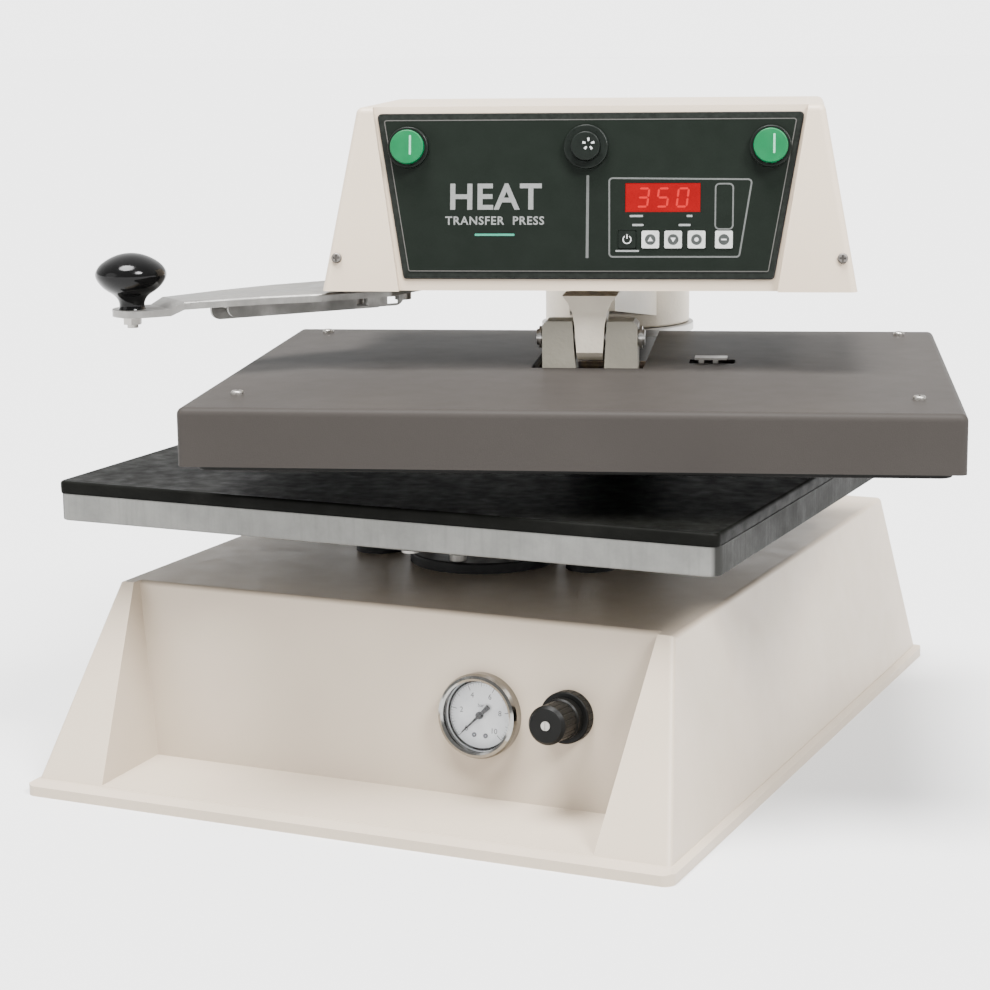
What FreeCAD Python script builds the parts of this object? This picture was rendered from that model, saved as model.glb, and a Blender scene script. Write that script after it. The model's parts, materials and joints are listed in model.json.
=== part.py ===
"""Bench-top swing-away heat press with an air-lifted lower platen.

Frame: millimetres, +X to the operator's right, -Y towards the operator, +Z up.
Origin: middle of the base pan's underside, on the bench.
The head (arm, console, handle and heated platen) is drawn square to the press, with the
post's axis at x = y = 0, and is then turned HEAD_SWING degrees about the post.
"""
import math
import os

import FreeCAD
import Part

V = FreeCAD.Vector

# ---- base ----
PAN_W = 495.3
PAN_D = 626.0
PAN_H = 10.0
PAN_EDGE = 7.5          # height of the pan's upright edge, below its bevel
PAN_FLOOR = 3.0
PAN_CORNER_R = 8.0
RIM_TOP_X = 244.0       # half width and half depth of the flat top of the pan's rim
RIM_TOP_Y = 305.0
STAND_X = 380.0         # spacing of the holes that bolt the press to a stand
STAND_Y = 500.0
STAND_HOLE_R = 4.5

SHELL_TOP = 142.0
SHELL_LOW_X = 243.0     # half width at the pan
SHELL_TOP_X = 216.6     # half width at the top
SHELL_LOW_FRONT = -302.0
SHELL_TOP_FRONT = -226.0
SHELL_LOW_BACK = 304.0
SHELL_TOP_BACK = 283.0
SHELL_WALL = 3.0
PANEL_LOW_Y = -231.0    # the front panel meets the ledge here
PANEL_TOP_Y = -218.5
LEDGE_BACK_Z = 14.0
LEDGE_FALL = 3.2 / 70   # the ledge falls towards the front
CHEEK_TOP_X = 205.0     # inner face of the front cheeks, at their top front corner
CHEEK_PER_Y = -0.045
CHEEK_PER_Z = 0.145
PANEL_LEAN = math.degrees(math.atan2(PANEL_TOP_Y - PANEL_LOW_Y, SHELL_TOP - LEDGE_BACK_Z))
BACK_SLOPE = (SHELL_LOW_BACK - SHELL_TOP_BACK) / (SHELL_TOP - PAN_H)
BACK_LEAN = math.degrees(math.atan(BACK_SLOPE))

# ---- frame, post and lift ----
FRAME_Z = 26.0          # top of the steel frame inside the base
POST_Y = 221.5
POST_R = 42.0
JOURNAL_R = 32.0
POST_SHOULDER = 285.0
POST_TOP = 346.0
COLLAR_R = 64.5
COLLAR_TOP = 291.6
TABLE_Y = -55.9         # middle of the lower platen
LIFT_BORE_R = 55.0
LIFT_R = 62.0
RAM_R = 25.0
GUIDE_X = 88.0
GUIDE_R = 8.0
RUN = 0.05              # radial running clearance

# ---- platens ----
PLATEN_W = 508.0
PLATEN_D = 381.0
PLATEN_CORNER_R = 9.0
TABLE_Z = 189.2
TABLE_TOP = 209.0
PAD_TOP = 218.2
HEAD_SWING = 17.43
YC = -277.1             # middle of the heated platen, in front of the post
HEAT_Z = 245.6
HEAT_TOP = 266.2
COVER_W = 523.4
COVER_D = 423.2
COVER_Z = 251.9
COVER_TOP = 291.9
COVER_SHEET = 1.5
STRAP_TOP = 295.4       # strap over the thermostat, standing out of the cover
NOTCH_LEFT = -43.5      # sides of the cover's notch round the clevis
NOTCH_RIGHT = 39.5
NOTCH_Y = YC - 12.0
COVER_SCREWS = [(-233, YC - 150), (233, YC - 150), (-233, YC + 185), (233, YC + 185)]

# ---- arm and clevis ----
HUB_R = 61.0
HUB_Z = 292.0
HUB_TOP = 344.0
HUB_BORE_R = 38.0
ARM_TOP = 345.0
PIN_Y = YC + 3.0
PIN_Z = 313.0
PIN_R = 6.0
EAR_TOP = 326.0
EAR_X = 35.0

# ---- console ----
CON_Z = 351.0
CON_TOP = 482.8
CON_SHEET = 2.0
FACE_Y = -307.1         # the front panel's plane passes through this y at FACE_Z
FACE_Z = 351.8
FACE_LEAN = 9.0
CON_BACK_Y = -97.0
CON_BACK_LEAN = 7.0
CHEEK_OUT = 7.0         # the end cheeks stand this far proud of the front panel
BUTTON_Z = 453.0
START_X = 131.1
RELEASE_X = -1.2
KEY_Z = 387.4
KEYS = {"key_power": 28.8, "key_up": 45.6, "key_down": 62.0, "key_set": 78.8, "key_timer": 98.4}
KEY_SIDE = 12.6
DISPLAY = (27.1, 81.4, 406.8, 427.6)

# ---- gauge and regulator, on the base's front panel ----
GAUGE_X = 75.2
GAUGE_Z = 72.3
REG_X = 140.4
REG_Z = 78.4
REG_END = 41.0          # end of the regulator's knob, in front of the panel

# ---- handle ----
TIP_X = -320.0          # centre of the rounding of the pad under the knob
TIP_Y = -357.0
TIP_TURN = 36.87        # direction from the pad to the bar, about +Z from +X
STUD_OUT = 5.0          # the knob's stud stands this far beyond the centre of the pad's rounding
PAD_Z = 338.0
BAR_Z = 342.0
BAR_TOP = 348.0

# ---- rear panel ----
REAR_Z = 70.0
INLET_X = 60.0
GLAND_X = -60.0


def block(x0, x1, y0, y1, z0, z1):
    return Part.makeBox(x1 - x0, y1 - y0, z1 - z0, V(x0, y0, z0))


def disc(r, z0, z1, x=0.0, y=0.0):
    return Part.makeCylinder(r, z1 - z0, V(x, y, z0))


def ring(r_out, r_in, z0, z1, x=0.0, y=0.0):
    return disc(r_out, z0, z1, x, y).cut(disc(r_in, z0 - 1, z1 + 1, x, y))


def slab(points, z0, z1):
    """Plate with a straight-sided outline."""
    corners = [V(x, y, z0) for x, y in points]
    return Part.Face(Part.makePolygon(corners + corners[:1])).extrude(V(0, 0, z1 - z0))


def hexagon(flats, z0, z1, x=0.0, y=0.0):
    r = flats / math.sqrt(3)
    turns = [math.radians(60 * i) for i in range(6)]
    return slab([(x + r * math.cos(a), y + r * math.sin(a)) for a in turns], z0, z1)


def hexahedron(low, high):
    """Solid between two flat four-cornered ends, corner i of one joined to corner i of the other."""
    quads = [low, high]
    for i in range(4):
        j = (i + 1) % 4
        quads.append([low[i], low[j], high[j], high[i]])
    middle = V(*[sum(p[k] for p in low + high) / 8 for k in range(3)])
    faces = []
    for quad in quads:
        corners = [V(*p) for p in quad]
        face = Part.Face(Part.makePolygon(corners + corners[:1]))
        if face.normalAt(0, 0).dot(face.CenterOfMass - middle) < 0:
            face.reverse()
        faces.append(face)
    return Part.Solid(Part.Shell(faces))


def soften(shape, radius, chosen):
    """Round the edges for which chosen(edge) is true."""
    return shape.makeFillet(radius, [e for e in shape.Edges if chosen(e)])


def upright(edge):
    a, b = edge.Vertexes[0].Point, edge.Vertexes[-1].Point
    return abs(a.x - b.x) < 1e-6 and abs(a.y - b.y) < 1e-6 and abs(a.z - b.z) > 1e-6


def at_height(edge, z):
    return all(abs(v.Z - z) < 1e-6 for v in edge.Vertexes)


def rounded_plate(w, d, z0, z1, r, x=0.0, y=0.0):
    plate = block(x - w / 2, x + w / 2, y - d / 2, y + d / 2, z0, z1)
    return soften(plate, r, upright)


def turned(profile):
    """Solid of revolution about Z from a closed outline of (radius, z)."""
    corners = [V(r, 0, z) for r, z in profile]
    face = Part.Face(Part.makePolygon(corners + corners[:1]))
    return face.revolve(V(0, 0, 0), V(0, 0, 1), 360)


def tube(points, r):
    """Round hose along a smooth curve through the points."""
    curve = Part.BSplineCurve()
    curve.interpolate([V(*p) for p in points])
    path = Part.Wire([curve.toShape()])
    start = curve.value(curve.FirstParameter)
    section = Part.Wire([Part.makeCircle(r, start, curve.tangent(curve.FirstParameter)[0])])
    return path.makePipeShell([section], True, True)


def moved(shape, x=0.0, y=0.0, z=0.0):
    out = shape.copy()
    out.translate(V(x, y, z))
    return out


def on_wall(shape, x, y, z, lean, turn=0.0):
    """Stand a shape drawn with +Z outwards on a wall that leans back by lean degrees."""
    out = shape.copy()
    out.rotate(V(0, 0, 0), V(1, 0, 0), 90 - lean)
    out.rotate(V(0, 0, 0), V(0, 0, 1), turn)
    out.translate(V(x, y, z))
    return out


def fused(solids):
    out = solids[0]
    for solid in solids[1:]:
        out = out.fuse(solid)
    return out.removeSplitter()


# ---------------------------------------------------------------- base

def cheek_x(y, z):
    """Half width between the inner faces of the front cheeks."""
    return CHEEK_TOP_X + CHEEK_PER_Y * (y - SHELL_TOP_FRONT) + CHEEK_PER_Z * (z - SHELL_TOP)


def panel_y(z):
    """The front panel's plane."""
    return PANEL_TOP_Y - (SHELL_TOP - z) * math.tan(math.radians(PANEL_LEAN))


def back_y(z):
    """The back wall's plane."""
    return SHELL_TOP_BACK + (SHELL_TOP - z) * BACK_SLOPE


def shell_corners(z, inset):
    """Corners of the housing at a height, moved in by a wall thickness."""
    up = (z - PAN_H) / (SHELL_TOP - PAN_H)
    x = SHELL_LOW_X + (SHELL_TOP_X - SHELL_LOW_X) * up - inset
    front = SHELL_LOW_FRONT + (SHELL_TOP_FRONT - SHELL_LOW_FRONT) * up + 1.15 * inset
    back = SHELL_LOW_BACK + (SHELL_TOP_BACK - SHELL_LOW_BACK) * up - inset
    return [(-x, front, z), (x, front, z), (x, back, z), (-x, back, z)]


def front_recess(grow, floor_at):
    """The space in front of the front panel, between the two cheeks."""
    high_z = SHELL_TOP + 8
    near_y = SHELL_LOW_FRONT - 38
    low = []
    high = []
    for side, deep in ((-1, True), (1, True), (1, False), (-1, False)):
        y_low = panel_y(LEDGE_BACK_Z) + grow if deep else near_y
        z_low = floor_at(y_low)
        y_low = panel_y(z_low) + grow if deep else near_y
        y_high = panel_y(high_z) + grow if deep else near_y
        low.append((side * (cheek_x(y_low, z_low) + grow), y_low, z_low))
        high.append((side * (cheek_x(y_high, high_z) + grow), y_high, high_z))
    return hexahedron(low, high)


def ledge_z(y):
    return LEDGE_BACK_Z + (y - PANEL_LOW_Y) * LEDGE_FALL


def flat_below(y):
    return 0.0


def base_pan():
    lower = block(-PAN_W / 2, PAN_W / 2, -PAN_D / 2, PAN_D / 2, 0, PAN_EDGE)
    corners = [(-1, -1), (1, -1), (1, 1), (-1, 1)]
    edge = [(i * PAN_W / 2, j * PAN_D / 2, PAN_EDGE) for i, j in corners]
    rim = [(i * RIM_TOP_X, j * RIM_TOP_Y, PAN_H) for i, j in corners]
    bevel = hexahedron(edge, rim)
    pan = soften(lower, PAN_CORNER_R, upright).fuse(bevel.common(
        soften(block(-PAN_W / 2, PAN_W / 2, -PAN_D / 2, PAN_D / 2, 0, PAN_H), PAN_CORNER_R, upright)))
    pan = pan.removeSplitter()
    pan = pan.cut(block(-228, 228, -292, 294, PAN_FLOOR, PAN_H + 1))
    for x in (-STAND_X / 2, STAND_X / 2):
        for y in (-STAND_Y / 2, STAND_Y / 2):
            pan = pan.cut(disc(STAND_HOLE_R, -1, PAN_FLOOR + 1, x, y))
    return pan


def base_shell():
    outer = hexahedron(shell_corners(PAN_H, 0), shell_corners(SHELL_TOP, 0))
    body = outer.cut(front_recess(0, ledge_z))
    body = soften(body, 4.0, lambda e: e.Length > 60 and not at_height(e, PAN_H) and outside_edge(e))
    top = SHELL_TOP - SHELL_WALL
    cavity = hexahedron(shell_corners(PAN_H - 5, SHELL_WALL), shell_corners(top, SHELL_WALL))
    body = body.cut(cavity.cut(front_recess(SHELL_WALL, flat_below)))
    body = body.cut(disc(POST_R + 1, SHELL_TOP - 10, SHELL_TOP + 1, 0, POST_Y))
    body = body.cut(disc(RAM_R + 5, SHELL_TOP - 10, SHELL_TOP + 1, 0, TABLE_Y))
    for x, y in lift_bolt_places():
        body = body.cut(disc(4.5, SHELL_TOP - 10, SHELL_TOP + 1, x, y))
    for x in (-GUIDE_X, GUIDE_X):
        body = body.cut(disc(14.2, SHELL_TOP - 10, SHELL_TOP + 1, x, TABLE_Y))
    body = body.cut(on_panel(disc(28.2, -20, 10), GAUGE_X, GAUGE_Z))
    body = body.cut(on_panel(disc(14.0, -20, 10), REG_X, REG_Z))
    body = body.cut(on_back(disc(8, -10, 10, INLET_X, 0)))
    return body.cut(on_back(disc(9, -10, 10, GLAND_X, 0)))


def outside_edge(edge):
    """True for the housing's long outer edges and the panel's top edge."""
    a, b = edge.Vertexes[0].Point, edge.Vertexes[-1].Point
    if abs(a.z - b.z) < 1e-6:
        return a.z > SHELL_TOP - 1e-6
    return max(abs(a.x), abs(b.x)) > SHELL_TOP_X + 5


def on_panel(shape, x, z):
    return on_wall(shape, x, panel_y(z), z, PANEL_LEAN)


def behind_panel(z, deep):
    """The (y, z) of a point straight behind the panel's outer face."""
    lean = math.radians(PANEL_LEAN)
    return panel_y(z) + deep * math.cos(lean), z - deep * math.sin(lean)


def on_back(shape):
    return on_wall(shape, 0, back_y(REAR_Z), REAR_Z, BACK_LEAN, 180)


def base_frame():
    plate = block(-100, 100, -225, 286, FRAME_Z - 12, FRAME_Z)
    skirts = [block(x, x + 8, -225, 286, PAN_FLOOR, FRAME_Z - 12) for x in (-100, 92)]
    return fused([plate] + skirts)


def lift_bolt_places():
    turns = [math.radians(90 * i) for i in range(4)]
    return [(46 * math.sin(a), TABLE_Y - 46 * math.cos(a)) for a in turns]


def post_bolt_places():
    turns = [math.radians(45 + 90 * i) for i in range(4)]
    return [(51 * math.cos(a), POST_Y + 51 * math.sin(a)) for a in turns]


def bolt(x, y, head_z, shank_z, r, head_r=0.0, up=1):
    """Hexagon-socket bolt on a vertical axis; its head points up or down."""
    head_r = head_r or 1.6 * r
    head_h = 1.25 * r * up
    lo, hi = sorted((head_z, head_z + head_h))
    head = disc(head_r, lo, hi, x, y)
    head = soften(head, 0.5, lambda e: at_height(e, head_z + head_h))
    socket = hexagon(r * 1.4, lo, hi, x, y)
    socket.translate(V(0, 0, 0.45 * head_h))
    lo, hi = sorted((head_z, shank_z))
    return fused([head.cut(socket), disc(r, lo, hi, x, y)])


def post():
    foot = disc(POST_R + 19, FRAME_Z, FRAME_Z + 12, 0, POST_Y)
    column = disc(POST_R, FRAME_Z, POST_SHOULDER, 0, POST_Y)
    journal = disc(JOURNAL_R, POST_SHOULDER, POST_TOP, 0, POST_Y)
    body = fused([foot, column, journal])
    for x, y in post_bolt_places():
        body = body.cut(disc(5, FRAME_Z - 1, FRAME_Z + 13, x, y))
    return body.cut(disc(6, POST_TOP - 30, POST_TOP + 1, 0, POST_Y))


def base_bolts():
    """Bolts at the post's foot and on the lift cylinder, and the washer and bolt on the post's top."""
    foot = [bolt(x, y, FRAME_Z + 12, FRAME_Z, 5) for x, y in post_bolt_places()]
    lift = [bolt(x, y, SHELL_TOP + 8, FRAME_Z + 100, 4) for x, y in lift_bolt_places()]
    washer = ring(36, 6, POST_TOP, POST_TOP + 3, 0, POST_Y)
    retainer = fused([washer, bolt(0, POST_Y, POST_TOP + 3, POST_TOP - 29.9, 6)])
    return foot + lift + [retainer]


def post_collars():
    """Trim ring where the post leaves the housing, and the thrust ring under the arm's hub."""
    trim = ring(POST_R + 16, POST_R, SHELL_TOP, SHELL_TOP + 8, 0, POST_Y)
    trim = soften(trim, 2.0, lambda e: at_height(e, SHELL_TOP + 8) and e.Length > 300)
    thrust = ring(COLLAR_R, JOURNAL_R, POST_SHOULDER, COLLAR_TOP, 0, POST_Y)
    thrust = soften(thrust, 1.0, lambda e: at_height(e, COLLAR_TOP) and e.Length > 300)
    return [trim, thrust]


def lift_cylinder():
    body = disc(LIFT_R, FRAME_Z, SHELL_TOP - SHELL_WALL, 0, TABLE_Y)
    body = body.cut(disc(LIFT_BORE_R, FRAME_Z + 8, FRAME_Z + 98, 0, TABLE_Y))
    body = body.cut(disc(RAM_R + RUN, FRAME_Z + 50, SHELL_TOP, 0, TABLE_Y))
    for x, y in lift_bolt_places():
        body = body.cut(disc(4, FRAME_Z + 99, SHELL_TOP, x, y))
    return body


def cylinder_flange():
    flange = ring(56, RAM_R + 2, SHELL_TOP, SHELL_TOP + 8, 0, TABLE_Y)
    for x, y in lift_bolt_places():
        flange = flange.cut(disc(4.5, SHELL_TOP - 1, SHELL_TOP + 9, x, y))
    return soften(flange, 1.5, lambda e: at_height(e, SHELL_TOP + 8) and e.Length > 300)


def lift_bushings():
    """Flange that clamps the lift cylinder to the housing, and a bush for each guide rod."""
    out = [cylinder_flange()]
    for x in (-GUIDE_X, GUIDE_X):
        barrel = disc(14, SHELL_TOP - 12, SHELL_TOP, x, TABLE_Y)
        body = fused([barrel, disc(19, SHELL_TOP, SHELL_TOP + 5, x, TABLE_Y)])
        out.append(body.cut(disc(GUIDE_R + RUN, SHELL_TOP - 13, SHELL_TOP + 6, x, TABLE_Y)))
    return out


# ---------------------------------------------------------------- gauge and regulator

def gauge_case():
    """Cup behind the panel with its screwed connection at the back."""
    case = disc(27.8, -30, 0).cut(disc(26.2, -28, 1))
    body = fused([case, disc(6.5, -44, -29), hexagon(14, -40, -30)])
    return on_panel(body.cut(disc(2.5, -45, -31)), GAUGE_X, GAUGE_Z)


def gauge_bezel():
    profile = [(26.2, 0), (29.8, 0), (29.8, 7.5), (28.6, 10.4), (26.6, 11.4), (25.0, 10.6),
               (25.0, 9.6), (26.2, 9.6)]
    return on_panel(turned(profile), GAUGE_X, GAUGE_Z)


def gauge_dial():
    dial = disc(26.0, 1.0, 2.0).cut(disc(1.0 + RUN, 0, 3))
    return on_panel(dial, GAUGE_X, GAUGE_Z)


def gauge_lens():
    return on_panel(disc(26.1, 7.4, 9.4), GAUGE_X, GAUGE_Z)


def gauge_needle():
    """Tapered pointer resting at the lower left, with a counterweight tail."""
    pointer = slab([(-0.35, 18.5), (0.35, 18.5), (1.0, 0), (-1.0, 0)], 3.6, 4.3)
    tail = slab([(-0.9, 0), (0.9, 0), (1.9, -9.5), (-1.9, -9.5)], 3.6, 4.3)
    needle = fused([pointer, tail, disc(2.6, 3.0, 4.9), disc(1.0, 0.6, 3.0)])
    needle.rotate(V(0, 0, 0), V(0, 0, 1), 135)
    return on_panel(needle, GAUGE_X, GAUGE_Z)


def regulator_body():
    body = fused([disc(21, -62, -SHELL_WALL - 0.5), disc(13.8, -SHELL_WALL - 0.5, 1), disc(12, 1, 13)])
    for x in (-1, 1):
        port = Part.makeCylinder(8, 12, V(x * 18, 0, -44), V(x, 0, 0))
        body = body.fuse(port)
    return on_panel(body.removeSplitter(), REG_X, REG_Z)


def regulator_nut():
    nut = ring(18, 12, 1, 9.5).fuse(ring(18, 13.8, 0, 1)).removeSplitter()
    nut = soften(nut, 1.2, lambda e: at_height(e, 9.5) and e.Length > 100)
    for i in range(24):
        a = math.radians(15 * i)
        nut = nut.cut(disc(0.7, 1.5, 8.2, 18.3 * math.cos(a), 18.3 * math.sin(a)))
    return on_panel(nut, REG_X, REG_Z)


def regulator_knob():
    profile = [(0, 16), (12.6, 16), (12.6, 10.2), (14.4, 10.2), (14.4, 17), (13.4, 18), (13.4, REG_END - 2.5),
               (11.4, REG_END), (0, REG_END)]
    knob = turned(profile)
    for i in range(20):
        a = math.radians(18 * i)
        knob = knob.cut(disc(0.8, 20, REG_END - 4, 13.8 * math.cos(a), 13.8 * math.sin(a)))
    knob = knob.cut(disc(3.2, REG_END - 1, REG_END + 1)).cut(disc(2, REG_END - 8, REG_END + 1))
    return on_panel(knob, REG_X, REG_Z)


def knob_screw():
    screw = fused([disc(3.2, REG_END - 1, REG_END + 0.6), disc(2, REG_END - 7.9, REG_END - 1)])
    return on_panel(screw.cut(block(-0.4, 0.4, -4, 4, REG_END + 0.1, REG_END + 1)), REG_X, REG_Z)


def solenoid_valve():
    body = block(-160, -128, 20, 90, 24, 62)
    coil = disc(13, 62, 92, -144, 42)
    cap = hexagon(12, 92, 98, -144, 42)
    foot = block(-170, -118, 30, 80, PAN_FLOOR, 24)
    return fused([body, coil, cap, foot])


def air_hoses():
    """Feed from the inlet to the regulator, gauge line, and valve line to the cylinder."""
    port_y, port_z = behind_panel(REG_Z, 44)
    stem_y, stem_z = behind_panel(GAUGE_Z, 45)
    lean = math.radians(BACK_LEAN)
    start = (-INLET_X, back_y(REAR_Z) - 25 * math.cos(lean), REAR_Z - 25 * math.sin(lean))
    feed = tube([start, (-INLET_X - 20, 240, 60), (-180, 60, 60), (-150, -120, 60), (20, -155, 66),
                 (80, port_y + 4, 76), (REG_X - 31, port_y, port_z)], 4)
    gauge = tube([(GAUGE_X, stem_y, stem_z), (GAUGE_X + 6, -160, 92), (140, -138, 118), (192, -156, 104),
                  (190, port_y, port_z + 6), (REG_X + 31, port_y, port_z)], 3)
    valve = tube([(-127.5, 50, 42), (-110, 46, 42), (-90, 10, 50), (-58.5, -26, 60)], 4)
    return [feed, gauge, valve]


# ---------------------------------------------------------------- rear panel

def pan_screw(x, y, seat, tip, r):
    """Cross-recess pan-head screw, drawn with its head towards +Z."""
    head = soften(disc(2 * r, seat, seat + 1.3 * r, x, y), 0.7 * r, lambda e: at_height(e, seat + 1.3 * r))
    cross = block(x - 1.25 * r, x + 1.25 * r, y - 0.33 * r, y + 0.33 * r, seat + 0.4 * r, seat + 2 * r)
    other = block(x - 0.33 * r, x + 0.33 * r, y - 1.25 * r, y + 1.25 * r, seat + 0.4 * r, seat + 2 * r)
    return fused([head, disc(r, tip, seat, x, y)]).cut(cross).cut(other)


def air_inlet():
    """Bulkhead fitting: nut inside, hexagon outside, threaded socket for the workshop's air line."""
    body = fused([disc(8, -24, 2), hexagon(20, 0, 7), disc(9, 7, 15), hexagon(20, -9, -SHELL_WALL - 0.1)])
    body = body.cut(disc(5.7, 1, 16)).cut(disc(3, -25, 2))
    return on_back(moved(body, INLET_X))


def cord_gland():
    dome = turned([(0, 7), (10, 7), (10, 14), (7.6, 19), (0, 19)])
    body = fused([disc(9, -14, 2), hexagon(22, 0, 7), dome, hexagon(22, -9, -SHELL_WALL - 0.1)])
    return on_back(moved(body.cut(disc(5, -15, 20)), GLAND_X))


# ---------------------------------------------------------------- table

def table_ram():
    piston = disc(LIFT_BORE_R - 0.1, 60, 80, 0, TABLE_Y)
    ram = fused([piston, disc(RAM_R, 80, 172, 0, TABLE_Y)])
    return [ram] + [disc(GUIDE_R, 100, TABLE_Z - 12, x, TABLE_Y) for x in (-GUIDE_X, GUIDE_X)]


def table_bolt_places():
    return [(-165, TABLE_Y), (165, TABLE_Y), (0, TABLE_Y - 125), (0, TABLE_Y + 125)]


def table_bracket():
    across = rounded_plate(366, 60, TABLE_Z - 12, TABLE_Z, 20, 0, TABLE_Y)
    along = rounded_plate(60, 286, TABLE_Z - 12, TABLE_Z, 20, 0, TABLE_Y)
    boss = disc(46, 172, TABLE_Z, 0, TABLE_Y)
    body = fused([across, along, boss])
    for x, y in table_bolt_places():
        body = body.cut(disc(4.5, TABLE_Z - 13, TABLE_Z + 1, x, y))
    return body


def table_bolts():
    return [bolt(x, y, TABLE_Z - 12, TABLE_Z + 9.9, 4, up=-1) for x, y in table_bolt_places()]


def lower_platen():
    plate = rounded_plate(PLATEN_W, PLATEN_D, TABLE_Z, TABLE_TOP, PLATEN_CORNER_R, 0, TABLE_Y)
    plate = soften(plate, 1.0, lambda e: at_height(e, TABLE_Z))
    for x, y in table_bolt_places():
        plate = plate.cut(disc(4, TABLE_Z - 1, TABLE_Z + 10, x, y))
    return plate


def platen_pad():
    pad = rounded_plate(PLATEN_W, PLATEN_D, TABLE_TOP, PAD_TOP, PLATEN_CORNER_R, 0, TABLE_Y)
    return soften(pad, 2.5, lambda e: at_height(e, PAD_TOP))


# ---------------------------------------------------------------- arm

def swing_arm():
    hub = soften(disc(HUB_R, HUB_Z, HUB_TOP), 2, lambda e: e.Length > 300)
    front = [(-17, -262, 331), (17, -262, 331), (17, -262, ARM_TOP), (-17, -262, ARM_TOP)]
    back = [(-36, -50, 302), (36, -50, 302), (36, -50, ARM_TOP), (-36, -50, ARM_TOP)]
    beam = hexahedron(front, back)
    side = [(9.2, 296), (10.9, 322), (12.5, 332), (16, 340), (20, ARM_TOP)]
    outline = side + [(-x, z) for x, z in reversed(side)]
    tongue = slab(outline, 0, 32)
    tongue.rotate(V(0, 0, 0), V(1, 0, 0), 90)
    tongue.translate(V(0, -256, 0))
    boss = Part.makeCylinder(17, 60, V(-30, PIN_Y, PIN_Z), V(1, 0, 0))
    keep = boss.fuse(block(-30, 30, PIN_Y - 14, PIN_Y + 18, PIN_Z, ARM_TOP))
    flange = rounded_plate(170, 116, ARM_TOP, CON_Z, 8, 0, -178)
    arm = fused([hub, beam, tongue.common(keep), flange])
    arm = arm.cut(disc(HUB_BORE_R, HUB_Z - 1, CON_Z))
    arm = arm.cut(Part.makeCylinder(PIN_R + RUN, 60, V(-30, PIN_Y, PIN_Z), V(1, 0, 0)))
    for x, y in bracket_bolt_places():
        arm = arm.cut(disc(3, ARM_TOP - 16, CON_Z + 1, x, y))
    return arm


def bracket_bolt_places():
    return [(-10, -218), (10, -218), (-16, -132), (16, -132)]


def hub_bushings():
    return [ring(HUB_BORE_R, JOURNAL_R + RUN, z, z + 22) for z in (HUB_Z, HUB_TOP - 22)]


def hub_cap():
    cap = disc(48, HUB_TOP, 362).cut(disc(41, HUB_TOP - 1, 359))
    return soften(cap, 4, lambda e: at_height(e, 362))


# ---------------------------------------------------------------- console

def crease_x(z):
    """Half width of the console's middle section, where the end cheeks begin."""
    return 137.15 + (z - CON_Z) * 20.35 / (CON_TOP - CON_Z)


def end_x(z):
    """Half width of the whole console."""
    return 193.9 - (z - CON_Z) * 24.8 / (CON_TOP - CON_Z)


def face_y(z, out=0.0):
    lean = math.radians(FACE_LEAN)
    return FACE_Y + (z - FACE_Z) * math.tan(lean) - out / math.cos(lean)


def con_back_y(z):
    return CON_BACK_Y - (z - CON_Z) * math.tan(math.radians(CON_BACK_LEAN))


def face_v(z):
    """Distance up the front panel for a height."""
    return (z - FACE_Z) / math.cos(math.radians(FACE_LEAN))


def on_face(shape):
    return on_wall(shape, 0, FACE_Y, FACE_Z, FACE_LEAN)


def console_block(z0, z1, inner, outer, out, back):
    """Tapered box between two side planes, a front plane and a back plane."""
    ends = []
    for z in (z0, z1):
        ends.append([(inner(z), face_y(z, out), z), (outer(z), face_y(z, out), z),
                     (outer(z), con_back_y(z) + back, z), (inner(z), con_back_y(z) + back, z)])
    return hexahedron(ends[0], ends[1])


def console_chassis():
    t = CON_SHEET
    outer = console_block(CON_Z, CON_TOP, lambda z: -crease_x(z), crease_x, 0, 0)
    void = console_block(CON_Z + t, CON_TOP - t, lambda z: t - crease_x(z), lambda z: crease_x(z) - t, -t, 5)
    box = outer.cut(void)
    for x in (-START_X, RELEASE_X, START_X):
        box = box.cut(on_face(disc(11.2, -5, 5, x, face_v(BUTTON_Z))))
    box = box.cut(on_face(block(14, 120, face_v(375), face_v(433), -5, 5)))
    for x, y in bracket_bolt_places():
        box = box.cut(disc(3.3, CON_Z - 1, CON_Z + t + 1, x, y))
    for x, z in cheek_joint_places():
        for side in (-1, 1):
            box = box.cut(Part.makeCylinder(2.4, 30, V(side * 130, x, z), V(side, 0, 0)))
    return box


def cheek_joint_places():
    return [(-270, 370), (-150, 370), (-265, 460), (-150, 460)]


def console_cheek(side):
    """Hollow end piece, open towards the middle except where it stands proud of the front panel."""
    outer = console_block(CON_Z, CON_TOP, crease_x, end_x, CHEEK_OUT, 0)
    outer = soften(outer, 5.0, lambda e: outer_cheek_edge(e))
    low, high = CON_Z + 2.5, CON_TOP - 2.5
    behind = console_block(low, high, lambda z: crease_x(z) - 3, lambda z: end_x(z) - 2.6, 0, -2.5)
    proud = console_block(low, high, lambda z: crease_x(z) + 2.2, lambda z: end_x(z) - 2.6,
                          CHEEK_OUT - 2.5, -60)
    cheek = outer.cut(behind).cut(proud)
    cheek = cheek.cut(on_face(disc(2.2, -10, 20, 183, face_v(373.8))))
    if side < 0:
        cheek = cheek.mirror(V(0, 0, 0), V(1, 0, 0))
        for x, y in handle_bolt_places():
            cheek = cheek.cut(disc(4, CON_Z - 1, CON_Z + 4, x, y))
    return cheek


def outer_cheek_edge(edge):
    """Edges of the outer face, and the top edge at the front."""
    middle = (edge.Vertexes[0].Point + edge.Vertexes[-1].Point) * 0.5
    if middle.z < CON_Z + 1:
        return False
    near_end = abs(middle.x - end_x(middle.z)) < 0.5
    front_top = middle.z > CON_TOP - 1 and middle.y < face_y(CON_TOP, CHEEK_OUT) + 1
    return near_end or front_top


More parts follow.
